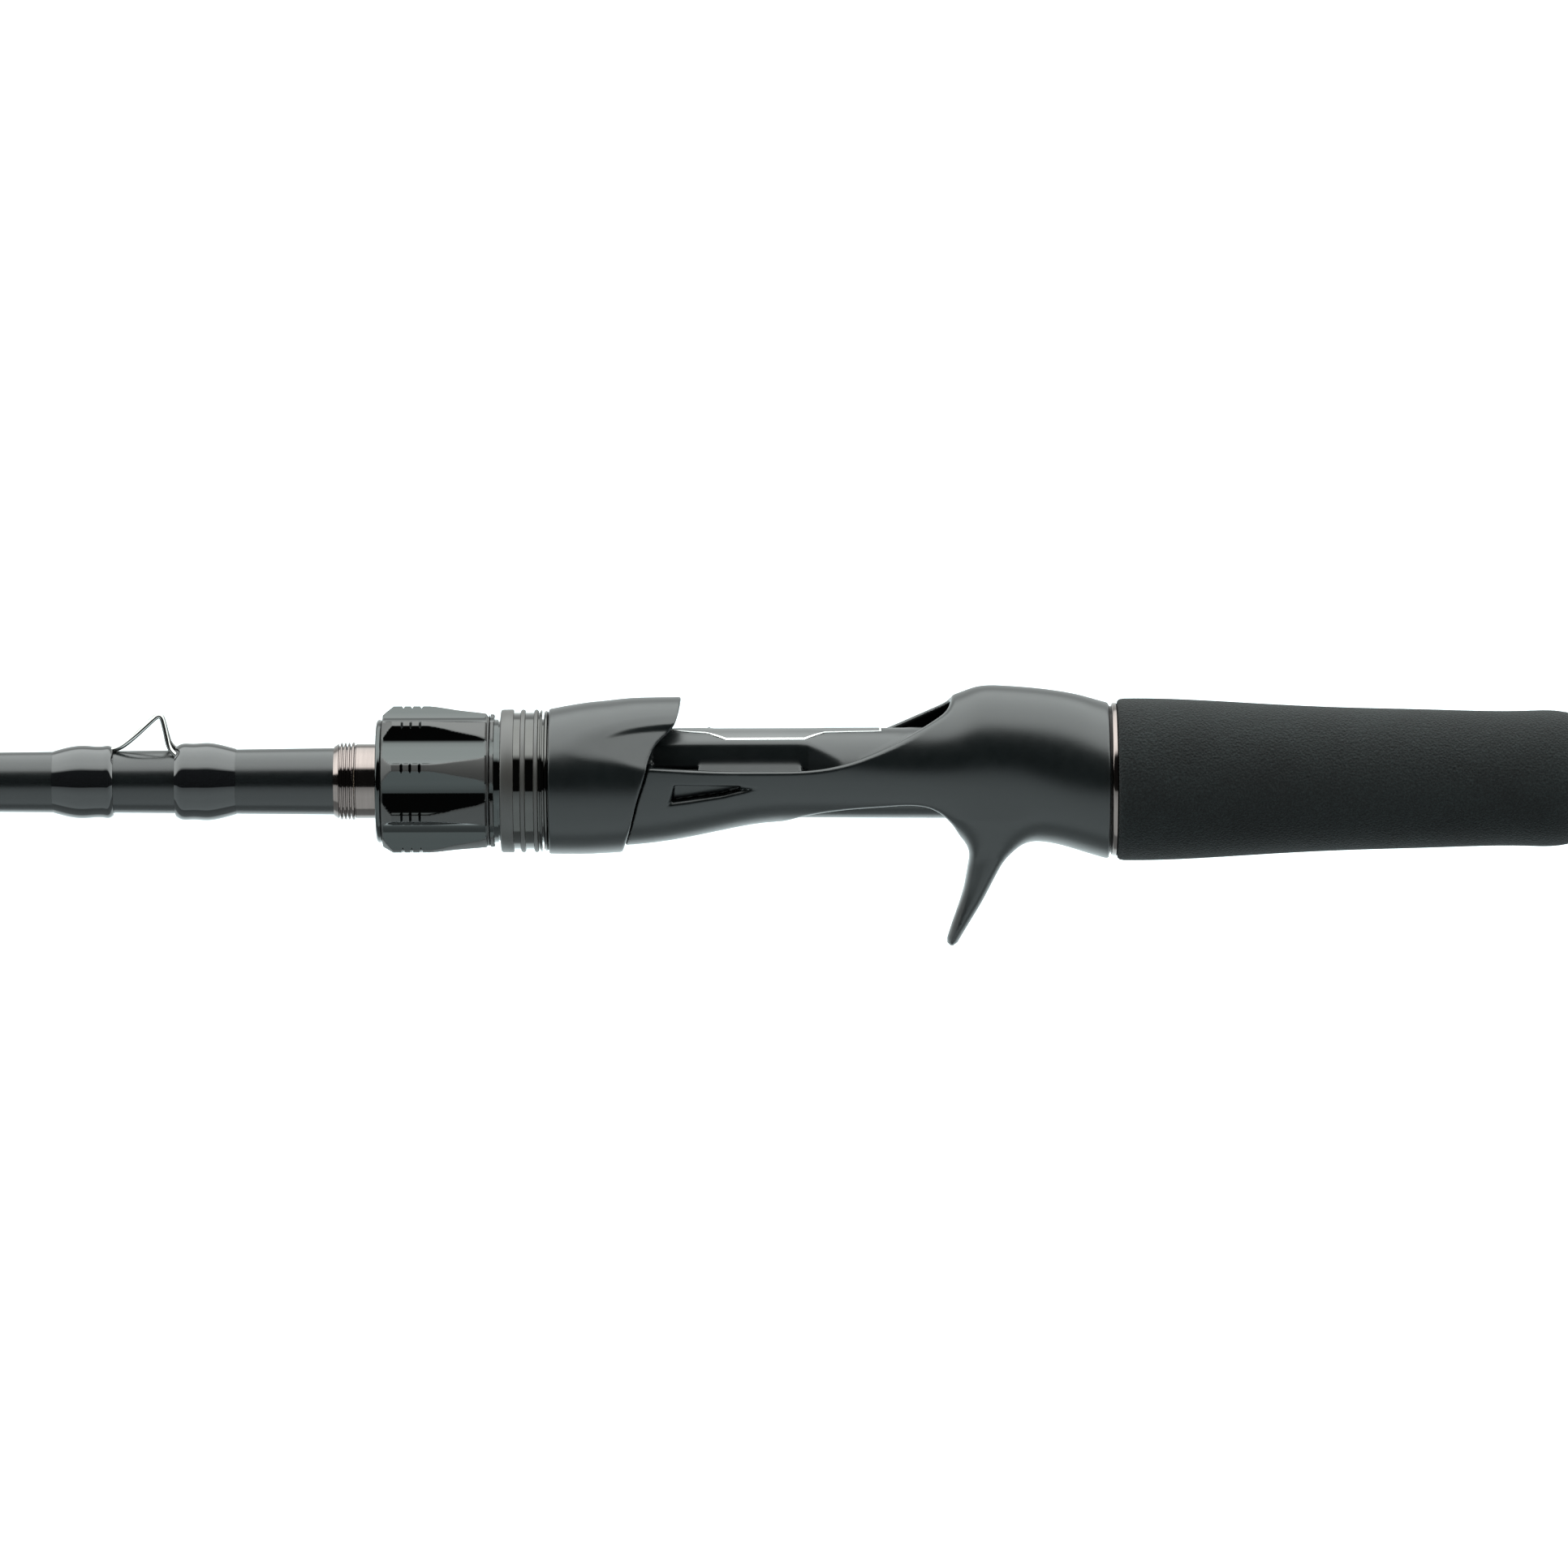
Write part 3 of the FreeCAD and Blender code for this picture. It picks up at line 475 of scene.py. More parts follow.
# Height of the widest point of the cross-section
hull_equator = spline([(-2.0, 0.0), (3.0, 0.0), (9.0, 1.3), (15.0, 2.9), (25.0, 3.0), (35.0, 3.1),
                       (47.0, 4.0), (60.0, 4.5), (80.0, 4.5)])

# Side-view lines as (ahead, height): top of the rails, edge of the sliding hood, recess in the flank
RAIL_LINE = [(80.0, 4.2), (73.5, 3.9), (65.0, 3.35), (54.5, 3.15), (47.5, 3.35), (43.5, 4.0),
             (37.0, 6.2), (31.0, 9.05), (27.4, 11.0), (25.7, 12.3), (25.2, 13.4), (25.4, 15.0)]
HOOD_EDGE = [(67.9, 15.5), (68.6, 12.6), (69.9, 9.6), (72.3, 7.4), (73.6, 5.0), (74.3, 2.5),
             (75.4, -1.0), (76.6, -6.0), (77.7, -10.5), (78.2, -13.0)]
HOOD_GAP = 0.22
VENT_SHELF = [(69.7, 1.1), (70.8, -2.6), (67.1, -2.15), (61.6, -1.25), (58.0, -0.35), (56.0, 0.35),
              (59.1, 0.9)]
VENT_PIT = [(69.4, 1.0), (69.9, -1.8), (61.6, -0.65), (58.9, 0.15), (59.1, 0.8)]
VENT_SLOPE = 0.9
VENT_DEPTH = 1.7

# Deck that carries the top plate: a crest about its own centre between leaning sides
DECK_RADIUS = 9.0
DECK_CENTRE_Z = -0.65
DECK_SIDES = [(36.0, 9.6), (41.2, 8.9), (43.2, 7.5), (48.2, 5.4), (50.0, 5.25), (90.0, 5.25)]
DECK_SIDE_LEAN = 0.2
DECK_SIDE_MIDDLE = 5.0
DECK_REAR = 10.0
DECK_UNDERSIDE = 0.5
BARREL_RADIUS = 8.0
BARREL_REAR = 73.0
BARREL_FRONT = 91.0
SEAT_BORE = 6.35

# Top plate: half widths of its bed, and the thickness of plate and bright line
PLATE_REAR = 36.4
PLATE_LINE = [(PLATE_REAR, 1.6), (45.4, 2.0), (48.7, 4.05), (61.3, 4.05), (64.5, 2.1), (67.0, 1.7),
              (70.5, 0.8), (90.0, 0.8)]
PLATE_THICKNESS = 0.45
BRIGHT_LINE_WIDTH = 0.35
BRIGHT_LINE_STAND = 0.05


def deck_half_width(u):
    """Half width of the deck: it spreads to the rails behind the side pockets."""
    ahead, half = zip(*DECK_SIDES)
    return np.interp(u, ahead, half)


def plate_half_width(u):
    """Half width of the bed that holds the top plate and its outline."""
    ahead, half = zip(*PLATE_LINE)
    return np.interp(u, ahead, half)


def skin_field(u, y, z):
    """Outer skin of the seat before anything is cut."""
    equator = hull_equator(u)
    return oval_field(y, z - equator, hull_width(u), hull_top(u) - equator, hull_bottom(u) + equator)


def hull_field(u, z, skin):
    """The seat's skin, cut to the rail line, the hood's edge and the window below."""
    above = smooth_line(RAIL_LINE) + [(27.0, 30.0), (80.0, 30.0)]
    ahead = [(a - HOOD_GAP, h) for a, h in smooth_line(HOOD_EDGE)] + [(95.0, -13.0), (95.0, 15.5)]
    below = smooth_line([(53.0, -7.2), (49.5, -5.4), (45.2, -4.2), (41.6, -3.6), (36.1, -3.05), (31.0, -2.75),
                         (29.0, -3.1), (27.0, -4.2), (24.6, -6.4), (22.8, -9.6), (21.8, -16.0)])
    below += [(54.0, -16.0)]
    hull = carve(skin, polygon_field(u, z, above), 0.65)
    hull = carve(hull, polygon_field(u, z, ahead), 0.35)
    return carve(hull, polygon_field(u, z, below), 0.6)


def trigger_field(u, y, z):
    """Finger trigger: a web with a hollow front, rounded edges and a narrow tip."""
    front = smooth_line([(23.0, -5.0), (22.3, -9.0), (22.25, -12.0), (22.6, -14.2), (23.1, -17.0),
                         (24.0, -20.2), (25.05, -23.2), (25.9, -25.8)])
    rear = smooth_line([(24.1, -26.6), (22.5, -23.7), (20.2, -19.7), (18.5, -16.3), (16.9, -13.2),
                        (15.7, -10.7), (15.2, -5.0)])
    tip = [(25.9, -26.6), (25.4, -27.2), (24.8, -27.2)]
    web = polygon_field(u, z, front + tip + rear)
    half_width = np.interp(z, [-27.0, -24.0, -12.0, -5.0], [2.6, 3.3, 4.6, 6.4])
    return meet(web, np.abs(y) - half_width, 3.4)


def foot_space_field(u, y, z):
    """Pocket of the fixed rear hood that takes the reel foot's end."""
    end, mouth = 11.0, 44.0
    half_width = np.interp(u, [end, 28.0, 38.0], [7.4, 8.4, 8.75])
    top = np.interp(u, [end, 28.0, 46.0], [11.2, 12.7, 13.4])
    room = oval_field(y, z, half_width, top, top)
    room = meet(np.maximum(room, u - mouth), end - u, 1.0)
    return np.maximum(np.maximum(room, -crest_field(y, z)), 2.0 - z)


def crest_field(y, z):
    """Round crest of the deck."""
    return np.sqrt(y * y + (z - DECK_CENTRE_Z) ** 2) - DECK_RADIUS


def pocket_floor_field(u, side, z):
    """Raised floor in the middle of a side pocket: it slopes down to the rail and its ends splay."""
    outward, upward, level = 0.825, 0.565, 6.787
    middle, half_length, splay, splay_from = 57.5, 8.1, 0.45, 5.3
    outer_side, underside = 8.9, 1.5
    slope = side * outward + z * upward - level
    past_end = np.abs(u - middle) - half_length - splay * (side - splay_from)
    floor = meet(slope, past_end * 0.9, 0.5)
    return np.maximum(np.maximum(floor, side - outer_side), underside - z)


def seat_field(u, y, z):
    """The moulded seat: hull, deck, barrel and trigger, less the pockets, vents and bore."""
    side = np.abs(y)
    radius = np.sqrt(y * y + z * z)
    skin = skin_field(u, y, z)
    body = hull_field(u, z, skin)
    # Side pockets between the deck and the rails
    rail_inside, pocket_bottom, pocket_front, pocket_rear = 8.75, 2.2, 72.9, 40.0
    pocket = np.maximum(np.maximum(side - rail_inside, pocket_bottom - z),
                        np.maximum(u - pocket_front, pocket_rear - u))
    body = carve(body, pocket, 0.3)
    body = join(body, pocket_floor_field(u, side, z), 0.5)
    body = carve(body, foot_space_field(u, y, z), 0.5)
    # Deck and barrel
    crest = crest_field(y, z)
    deck_side = side - deck_half_width(u) + DECK_SIDE_LEAN * (z - DECK_SIDE_MIDDLE)
    deck = meet(crest, deck_side * 0.95, 0.5)
    deck = np.maximum(np.maximum(deck, DECK_UNDERSIDE - z), np.maximum(u - BARREL_FRONT, DECK_REAR - u))
    wall, deck_height = 0.8, 12.0
    deck = meet(deck, oval_field(y, z, hull_width(u) - wall, deck_height, deck_height), 0.4)
    barrel = np.maximum(radius - BARREL_RADIUS, np.maximum(u - BARREL_FRONT, BARREL_REAR - u))
    body = join(body, np.minimum(deck, barrel), 0.25)
    body = join(body, trigger_field(u, y, z), 4.6)
    # Triangular recess in each flank, with a sloping floor and lower wall
    body = carve(body, (VENT_SLOPE * polygon_field(u, z, VENT_SHELF) - skin) * 0.74, 0.2)
    body = carve(body, meet(polygon_field(u, z, VENT_PIT), -skin - VENT_DEPTH, 0.3), 0.3)
    # Bed for the top plate, bore and rear face
    bed_depth, bed_from = 0.5, 4.0
    bed = np.maximum(np.maximum(side - plate_half_width(u), -crest - bed_depth),
                     np.maximum(PLATE_REAR - u, bed_from - z))
    body = np.maximum(body, -bed)
    body = np.maximum(body, SEAT_BORE - radius)
    return meet(body, -u, 0.5)


def skin_mesh(stations, across, half_width, centre, stand):
    """Closed shell over the deck's crest: a top and an underside joined at the rim."""
    top, bottom = [], []
    for u in stations:
        for share in across:
            y = float(centre(u) + share * half_width(u))
            for level, layer in ((DECK_RADIUS + stand, top), (DECK_RADIUS - PLATE_THICKNESS, bottom)):
                layer.append((at(u), y, DECK_CENTRE_Z + math.sqrt(level * level - y * y)))
    rows, columns = len(stations), len(across)
    faces = lattice_faces(rows, columns, False, False)
    count = rows * columns
    faces += [tuple(index + count for index in quad[::-1]) for quad in faces]
    rim = ([(0, c) for c in range(columns)] + [(r, columns - 1) for r in range(1, rows)]
           + [(rows - 1, c) for c in range(columns - 2, -1, -1)] + [(r, 0) for r in range(rows - 2, 0, -1)])
    loop = [r * columns + c for r, c in rim]
    for first, second in zip(loop, loop[1:] + loop[:1]):
        faces.append((first, second, second + count, first + count))
    return top + bottom, faces


def build_plate():
    """Top plate: a satin skin on the deck's crest, and the bright line around it."""
    plate_start = PLATE_REAR + BRIGHT_LINE_WIDTH
    plate_end = 72.0
    corners = [u for u, half in PLATE_LINE if plate_start < u < plate_end]
    stations = np.unique(np.concatenate([np.linspace(plate_start, plate_end, 141), corners]))
    vertices, faces = skin_mesh(stations, np.linspace(-1, 1, 25),
                                lambda u: plate_half_width(u) - BRIGHT_LINE_WIDTH, lambda u: 0.0, 0.0)
    add_piece("seat_top_plate", vertices, faces, "seat_saddle")
    half_line = BRIGHT_LINE_WIDTH / 2
    strips = []
    for side in (-1, 1):
        strips.append(skin_mesh(stations, np.linspace(-1, 1, 5), lambda u: half_line,
                                lambda u, s=side: s * (plate_half_width(u) - half_line), BRIGHT_LINE_STAND))
    strips.append(skin_mesh(np.linspace(PLATE_REAR, plate_start, 4), np.linspace(-1, 1, 15), plate_half_width,
                            lambda u: 0.0, BRIGHT_LINE_STAND))
    vertices, faces = [], []
    for points, quads in strips:
        offset = len(vertices)
        vertices += points
        faces += [tuple(index + offset for index in quad) for quad in quads]
    add_piece("seat_bright_outline", vertices, faces, "seat_outline")


# Sliding hood: ahead, half width, upper half, lower half, roof top, roof centre, roof half width, facet
HOOD_SHAPE = [
    (65.0, 12.0, 12.9, 10.9, 13.5, 4.2, 6.8, 11.2),
    (74.0, 12.0, 13.0, 11.2, 13.4, 3.8, 7.3, 11.52),
    (79.0, 12.0, 12.95, 11.5, 13.0, 2.6, 8.2, 11.92),
    (84.0, 11.9, 12.5, 11.75, 11.6, 1.6, 9.0, 11.99),
    (89.6, 11.55, 11.5, 11.7, 9.6, 1.0, 9.0, 12.0)]
HOOD_FRONT = HOOD_SHAPE[-1][0]
HOOD_LEAN = 36.0


def hood_field(u, y, z):
    """Sliding hood: round in front; behind, a raised roof with an eave and a sloping facet."""
    side = np.abs(y)
    stations = [row[0] for row in HOOD_SHAPE]
    width, upper, lower, roof_top, roof_centre, roof_width, facet = [
        spline(list(zip(stations, column)))(u) for column in list(zip(*HOOD_SHAPE))[1:]]
    body = oval_field(y, z, width, upper, lower)
    lean = math.radians(HOOD_LEAN)
    body = meet(body, side * math.cos(lean) + z * math.sin(lean) - facet, 0.2)
    roof = np.sqrt(y * y + (z - roof_centre) ** 2) - (roof_top - roof_centre)
    roof = np.maximum(meet(roof, side - roof_width, 0.3), 5.0 - z)
    body = join(body, roof, 0.3)
    behind = smooth_line(HOOD_EDGE) + [(60.0, -13.0), (60.0, 15.5)]
    body = carve(body, polygon_field(u, z, behind), 0.45)
    body = meet(body, u - HOOD_FRONT, 0.3)
    radius = np.sqrt(y * y + z * z)
    # Room for the reel foot, closed in front, and the bore with its seat for the collar
    foot_end = 84.0
    foot_top = np.interp(u, [60.0, 76.0, foot_end], [12.0, 11.9, 9.6])
    foot = np.maximum(oval_field(y, z, 9.4, foot_top, 8.9), np.maximum(side - 7.2, u - foot_end))
    foot = np.maximum(foot, 3.0 - z)
    body = carve(body, foot, 0.3)
    bore = np.where(u > foot_end, 9.9, 8.9)
    return np.maximum(body, bore - radius)


def build_barrel():
    """Threaded front of the seat's barrel, under the lock nut."""
    root, crest, pitch = 7.95, 8.55, 2.0
    base_half, crest_half = 0.6, 0.225
    thread_start, thread_end = 93.0, 114.5
    front, bore = 115.5, 6.9
    angle = np.linspace(0, 2 * math.pi, TURN_STEPS, endpoint=False)
    lead = pitch * (angle / (2 * math.pi))
    rows = []
    for ahead in np.linspace(BARREL_FRONT, front, 246):
        off = (ahead - thread_start - lead + pitch / 2) % pitch - pitch / 2
        rise = np.clip((base_half - np.abs(off)) / (base_half - crest_half), 0, 1)
        rise = rise * np.clip(np.minimum(ahead - thread_start, thread_end - ahead), 0, 1)
        rows.append((ahead, root + (crest - root) * rise))
    inner = np.full(TURN_STEPS, bore)
    rows = [(BARREL_FRONT, inner)] + rows + [(front, inner)]
    vertices = [np.stack([np.full(TURN_STEPS, at(ahead)), radius * np.sin(angle), radius * np.cos(angle)], 1)
                for ahead, radius in rows]
    add_piece("threaded_barrel", np.concatenate(vertices), lattice_faces(len(rows), TURN_STEPS), "seat_body")


def build_seat():
    """Seat body and hood."""
    surface("reel_seat_moulding", seat_field, (-0.8, -13.2, -28.2), (92.0, 13.2, 16.4), 0.24, "seat_body")
    surface("sliding_hood_moulding", hood_field, (66.5, -12.8, -13.0), (90.4, 12.8, 14.6), 0.25, "hood_shell")
    build_barrel()
    build_plate()


# ---------------------------------------------------------------- lock nut, collar and winding check

# Outer radius of the lock nut's ridges along its length, as (ahead, radius)
NUT_PROFILE = [(99.1, 10.6), (99.15, 10.35), (99.35, 10.35), (99.6, 10.78), (100.9, 10.98), (102.2, 11.12),
               (103.5, 11.27), (104.8, 11.44), (106.1, 11.66), (107.4, 11.86), (108.7, 12.0), (114.5, 12.0),
               (115.8, 10.95), (116.2, 10.6)]
NUT_BORE = 8.76
FLUTES = 9
FLUTE_PHASE = 19.0
FLUTE_CUTTER = 6.6
FLUTE_CENTRE = 17.0
FLUTE_STEPS = 720
NOTCHES = (112.9, 111.5, 110.0)
NOTCH_HALF_WIDTH = 0.22
NOTCH_DEPTH = 0.35
# The ridges are brushed where they are at most this much below their crest and above this radius
BRUSHED_DEPTH = 0.06
BRUSHED_FROM = 10.3


def fluted(name, node, rows):
    """Piece from rows of (ahead, radius, whether the flutes cut it)."""
    angle = np.linspace(0, 2 * math.pi, FLUTE_STEPS, endpoint=False)
    pitch = 2 * math.pi / FLUTES
    off = (angle - math.radians(FLUTE_PHASE) + pitch / 2) % pitch - pitch / 2
    inside = FLUTE_CUTTER ** 2 - (FLUTE_CENTRE * np.sin(off)) ** 2
    uncut, softness = 40.0, 0.12
    flute = np.where(inside > 0, FLUTE_CENTRE * np.cos(off) - np.sqrt(np.maximum(inside, 0)), uncut)
    vertices, ridges = [], []
    for ahead, radius, cut in rows:
        turned_row = np.full(FLUTE_STEPS, radius)
        row = join(turned_row, flute, softness) if cut else turned_row
        place = np.full(FLUTE_STEPS, at(ahead))
        vertices.append(np.stack([place, row * np.cos(angle), row * np.sin(angle)], 1))
        ridges.append((ahead, radius))
    piece = add_piece(name, np.concatenate(vertices), lattice_faces(len(rows), FLUTE_STEPS), node, 25.0)
    ahead_of_row, radius_of_row = np.array(sorted(ridges)).T

    def on_ridge(ahead, radius):
        below = np.interp(ahead, ahead_of_row, radius_of_row) - radius
        off_notch = min(abs(ahead - notch) for notch in NOTCHES) > NOTCH_HALF_WIDTH
        return below < BRUSHED_DEPTH and radius > BRUSHED_FROM and off_notch

    brush(piece, on_ridge)


def brush(piece, test):
    """Mark the vertices whose (ahead, radius) pass the test as brushed instead of polished."""
    brushed = piece.data.attributes.new("brushed", "FLOAT", "POINT")
    for vertex, value in zip(piece.data.vertices, brushed.data):
        x, y, z = vertex.co / MM
        value.value = 1.0 if test(-x - SEAT_REAR, math.hypot(y, z)) else 0.0


def build_nut():
    """Fluted nut with three turned notches, and the fluted lip and round neck behind it."""
    rear, front = NUT_PROFILE[0][0], NUT_PROFILE[-1][0]
    corners = [99.15, 99.35, 114.5, 115.8]
    around_notches = [np.linspace(notch - 0.3, notch + 0.3, 7) for notch in NOTCHES]
    stations = np.concatenate([np.linspace(rear, front, 60), corners, *around_notches])
    stations = np.unique(np.round(stations, 4))
    rows = [(stations[0], NUT_BORE, False)]
    for ahead in stations:
        nearest = min(abs(ahead - notch) for notch in NOTCHES)
        notch_depth = NOTCH_DEPTH * max(0.0, 1 - nearest / NOTCH_HALF_WIDTH)
        rows.append((ahead, float(np.interp(ahead, *zip(*NUT_PROFILE))) - notch_depth, True))
    rows.append((stations[-1], NUT_BORE, False))
    fluted("lock_nut_fluted", "nut_shell", rows)
    lip = [(99.09, NUT_BORE, False), (99.09, 10.2, True), (98.95, 10.25, True), (98.93, 10.6, True),
           (98.85, 10.72, True), (98.4, 10.68, True), (98.3, 10.5, True), (98.3, 9.9, False),
           (97.62, 9.9, False), (97.6, 9.6, False), (94.3, 9.6, False), (94.3, NUT_BORE, False)]
    fluted("nut_lip_and_neck", "nut_rear_lip", lip)


def build_front_bead():
    """Rounded bead in front of the lock nut."""
    bead = [(at(116.21), NUT_BORE), (at(116.21), 9.75)] + arc(at(116.72), 9.4, 0.5, 80, 180, 8)
    bead += [(at(117.2), 8.95), (at(117.05), NUT_BORE)]
    lathe("nut_front_bead", bead, "nut_front_ring")


def build_collar():
    """Grooved collar of the sliding hood, brushed on its ridges, and the fine ring behind it."""
    groove_floor, ridge_foot, ridge_top = 10.95, 11.15, 11.46
    collar = [(at(97.3), 9.65), (at(97.3), 11.1), (at(97.2), 11.3), (at(97.0), 11.44), (at(95.4), ridge_top),
              (at(95.22), 11.4), (at(95.15), 11.2), (at(95.14), groove_floor), (at(94.12), groove_floor)]
    for front, rear, next_ridge in ((94.1, 93.27, 91.98), (91.96, 91.22, None)):
        collar += [(at(front), ridge_foot), (at(front - 0.12), 11.36), (at((front + rear) / 2), ridge_top),
                   (at(rear + 0.12), 11.36), (at(rear), ridge_foot)]
        if next_ridge:
            collar += [(at(rear - 0.02), groove_floor), (at(next_ridge), groove_floor)]
    collar += [(at(91.2), 11.0), (at(90.98), 11.0), (at(90.95), 11.3), (at(90.85), 11.42), (at(90.65), 11.42),
               (at(90.56), 11.3), (at(90.56), 9.9), (at(84.0), 9.9), (at(84.0), 8.9), (at(94.0), 8.9),
               (at(94.0), 9.65)]
    grooved = lathe("hood_grooved_collar", collar, "hood_collar", 256)
    last_ridge_rear = 91.21
    brush(grooved, lambda ahead, radius: radius > 11.1 and ahead > last_ridge_rear)
    ring = [(at(90.32), 9.92), (at(90.32), 11.1)] + arc(at(90.0), 11.0, 0.28, 150, 30, 5)
    ring += [(at(89.66), 11.05), (at(89.66), 9.92)]
    lathe("hood_fine_ring", ring, "hood_trim_ring")


def build_winding_check():
    """Ribbed metal check on the blank, in front of the lock nut."""
    bore, groove_floor = 5.44, 5.64
    flanges = [(at(124.0), bore), (at(124.0), 5.6), (at(123.2), 6.12), (at(123.1), groove_floor),
               (at(122.96), groove_floor)]
    for rib in (122.75, 122.15, 121.55):
        flanges += [(at(rib + 0.17), 6.1), (at(rib + 0.1), 6.22), (at(rib - 0.1), 6.22),
                    (at(rib - 0.17), 6.1), (at(rib - 0.2), groove_floor), (at(rib - 0.38), groove_floor)]
    flanges += [(at(121.12), 6.12), (at(121.0), 6.24), (at(120.75), 6.24), (at(120.62), 6.1),
                (at(120.62), 5.85), (at(120.5), 5.85), (at(120.5), bore)]
    lathe("winding_check_flanges", flanges, "check_flanges")
    tube = [(at(120.49), bore), (at(120.49), 5.9), (at(120.4), 6.0), (at(115.56), 6.0), (at(115.56), bore)]
    lathe("winding_check_tube", tube, "check_tube")


# ---------------------------------------------------------------- blank, wraps and keeper

# Outer radius of the blank by distance from the butt
BLANK = [(4.0, 6.7), (150.0, 6.42), (277.0, 6.1), (330.0, 5.72), (367.0, 5.35), (420.0, 4.8), (480.0, 4.42),
         (545.0, 4.15), (845.0, 3.2), (1245.0, 2.26), (1620.0, 1.58), (1975.0, 0.95)]
blank_radius = spline(BLANK)
BLANK_WALL = 1.0


def build_blank():
    """Tapered carbon blank, open at the butt."""
    start, start_radius = BLANK[0]
    end = BLANK[-1][0]
    tip_bore = 0.45
    places = np.concatenate([np.linspace(start, 600.0, 150), np.linspace(608.0, end, 150)])
    outer = [(-distance, float(blank_radius(distance))) for distance in places]
    inner = [(-end, tip_bore), (-start, start_radius - BLANK_WALL)]
    lathe("carbon_blank", outer + inner, "blank", 96)


def build_wrap(node, shape):
    """Epoxy-coated thread wrap in a node's place, from (share of its length, height over the blank)."""
    low, high = node_mm(node)
    start, end = -high.x, -low.x
    sunk, film = 0.1, 0.02
    lift = spline(shape)
    outline = [(-start, float(blank_radius(start)) - sunk)]
    for share in np.linspace(0, 1, 41):
        distance = start + share * (end - start)
        outline.append((-distance, float(blank_radius(distance)) + film + max(0.0, float(lift(share)))))
    outline.append((-end, float(blank_radius(end)) - sunk))
    lathe(node + "_epoxy", outline, node)


def build_keeper():
    """Hook keeper wire and the two wraps that hold its feet."""
    build_wrap("keeper_wrap_front",
               [(0.0, 0.35), (0.03, 0.62), (0.17, 0.8), (0.5, 0.92), (0.76, 0.68), (1.0, 0.08)])
    build_wrap("keeper_wrap_rear",
               [(0.0, 0.08), (0.22, 0.68), (0.48, 1.1), (0.74, 1.02), (0.95, 0.82), (1.0, 0.5)])
    # Half of the wire, from the front foot to a rear foot: ahead, out to the side, height of its underside
    wire_radius = 0.4
    leg = [(162.5, 0.0, -0.4), (160.5, 0.3, -0.3), (158.8, 0.5, 0.05), (157.6, 0.95, 0.7), (155.8, 1.4, 2.2),
           (153.9, 1.1, 3.9), (152.6, 0.6, 5.05), (152.0, 0.42, 5.4), (151.5, 0.5, 5.1), (151.2, 0.8, 4.0),
           (150.8, 1.2, 2.2), (150.4, 1.6, 0.5), (149.6, 2.2, -0.44), (148.4, 2.9, -1.2), (145.0, 3.1, -1.4)]
    near, far = [], []
    for ahead, out, lift in leg:
        height = float(blank_radius(SEAT_REAR + ahead)) + wire_radius + lift
        near.append((at(ahead), -out, height))
        far.append((at(ahead), out, height))
    sweep("hook_keeper_wire", near[::-1] + far[1:], wire_radius, "hook_keeper")


# ---------------------------------------------------------------- grips and butt

def rounded_start(x, first, size):
    """Rounded shoulder from the end face up to the first point of a grip's side."""
    reach, radius = first
    points = []
    for a in np.radians(np.linspace(0, 80, 8)):
        points.append((x - (x - reach) * (1 - math.cos(a)), radius - size + size * math.sin(a)))
    return points


def grip_side(low, high, shape, last_share):
    """Points along a grip's side, from (share of its length, radius)."""
    radius = spline(shape)
    length = high.x - low.x
    return [(high.x - share * length, float(radius(share))) for share in np.linspace(0.02, last_share, 90)]


def build_foam_grips():
    """Front and rear foam grip, each with soft ends."""
    low, high = node_mm("front_grip")
    bore = 6.3
    side = grip_side(low, high, [(0.0, 10.3), (0.03, 10.75), (0.1, 10.85), (0.3, 11.05), (0.5, 11.45),
                                 (0.65, 11.95), (0.8, 12.6), (0.9, 12.92), (0.97, 12.98), (1.0, 12.95)],
                     0.985)
    outline = [(high.x, bore), (high.x, 8.0)] + rounded_start(high.x, side[0], 2.2) + side
    outline += [(low.x + 0.4, 12.85), (low.x + 0.12, 12.6), (low.x, 12.1), (low.x, bore)]
    front = lathe("front_grip_foam", outline, "front_grip", 192)
    low, high = node_mm("rear_grip")
    bore = 6.7
    side = grip_side(low, high, [(0.0, 13.0), (0.08, 13.3), (0.25, 13.15), (0.5, 12.4), (0.7, 11.5),
                                 (0.88, 10.75), (1.0, 10.4)], 0.975)
    outline = [(high.x, bore), (high.x, 11.0)] + rounded_start(high.x, side[0], 1.2) + side
    outline += [(low.x + 1.2, 10.2), (low.x + 0.4, 9.7), (low.x, 8.8), (low.x, bore)]
    rear = lathe("rear_grip_foam", outline, "rear_grip", 192)


def build_grip_rings():
    """Metal rings at the ends of the grips, and the two rings between seat and front grip."""
    bore = 6.4
    for node, outer in (("front_grip_ring", 8.4), ("rear_grip_ring", 8.4), ("butt_ring", 11.8)):
        low, high = node_mm(node)
        middle = (low.x + high.x) / 2
        ring = [(low.x, bore), (low.x, outer - 0.4), (low.x + 0.12, outer - 0.12), (low.x + 0.4, outer),
                (middle - 0.25, outer), (middle - 0.15, outer - 0.2), (middle + 0.15, outer - 0.2),
                (middle + 0.25, outer), (high.x - 0.4, outer), (high.x - 0.12, outer - 0.12),
                (high.x, outer - 0.4), (high.x, bore)]
        lathe(node + "_turned", ring, node)
    black = [(at(-0.29), bore), (at(-0.29), 11.75), (at(-0.02), 11.9), (at(-0.02), bore)]
    lathe("trim_gap_ring", black, "trim_ring_black")
    metal = [(at(-0.31), bore), (at(-0.31), 12.0), (at(-0.42), 12.2), (at(-0.6), 12.3), (at(-1.1), 12.3),
             (at(-1.29), 12.1), (at(-1.29), bore)]
    lathe("trim_metal_ring", metal, "trim_ring_metal")


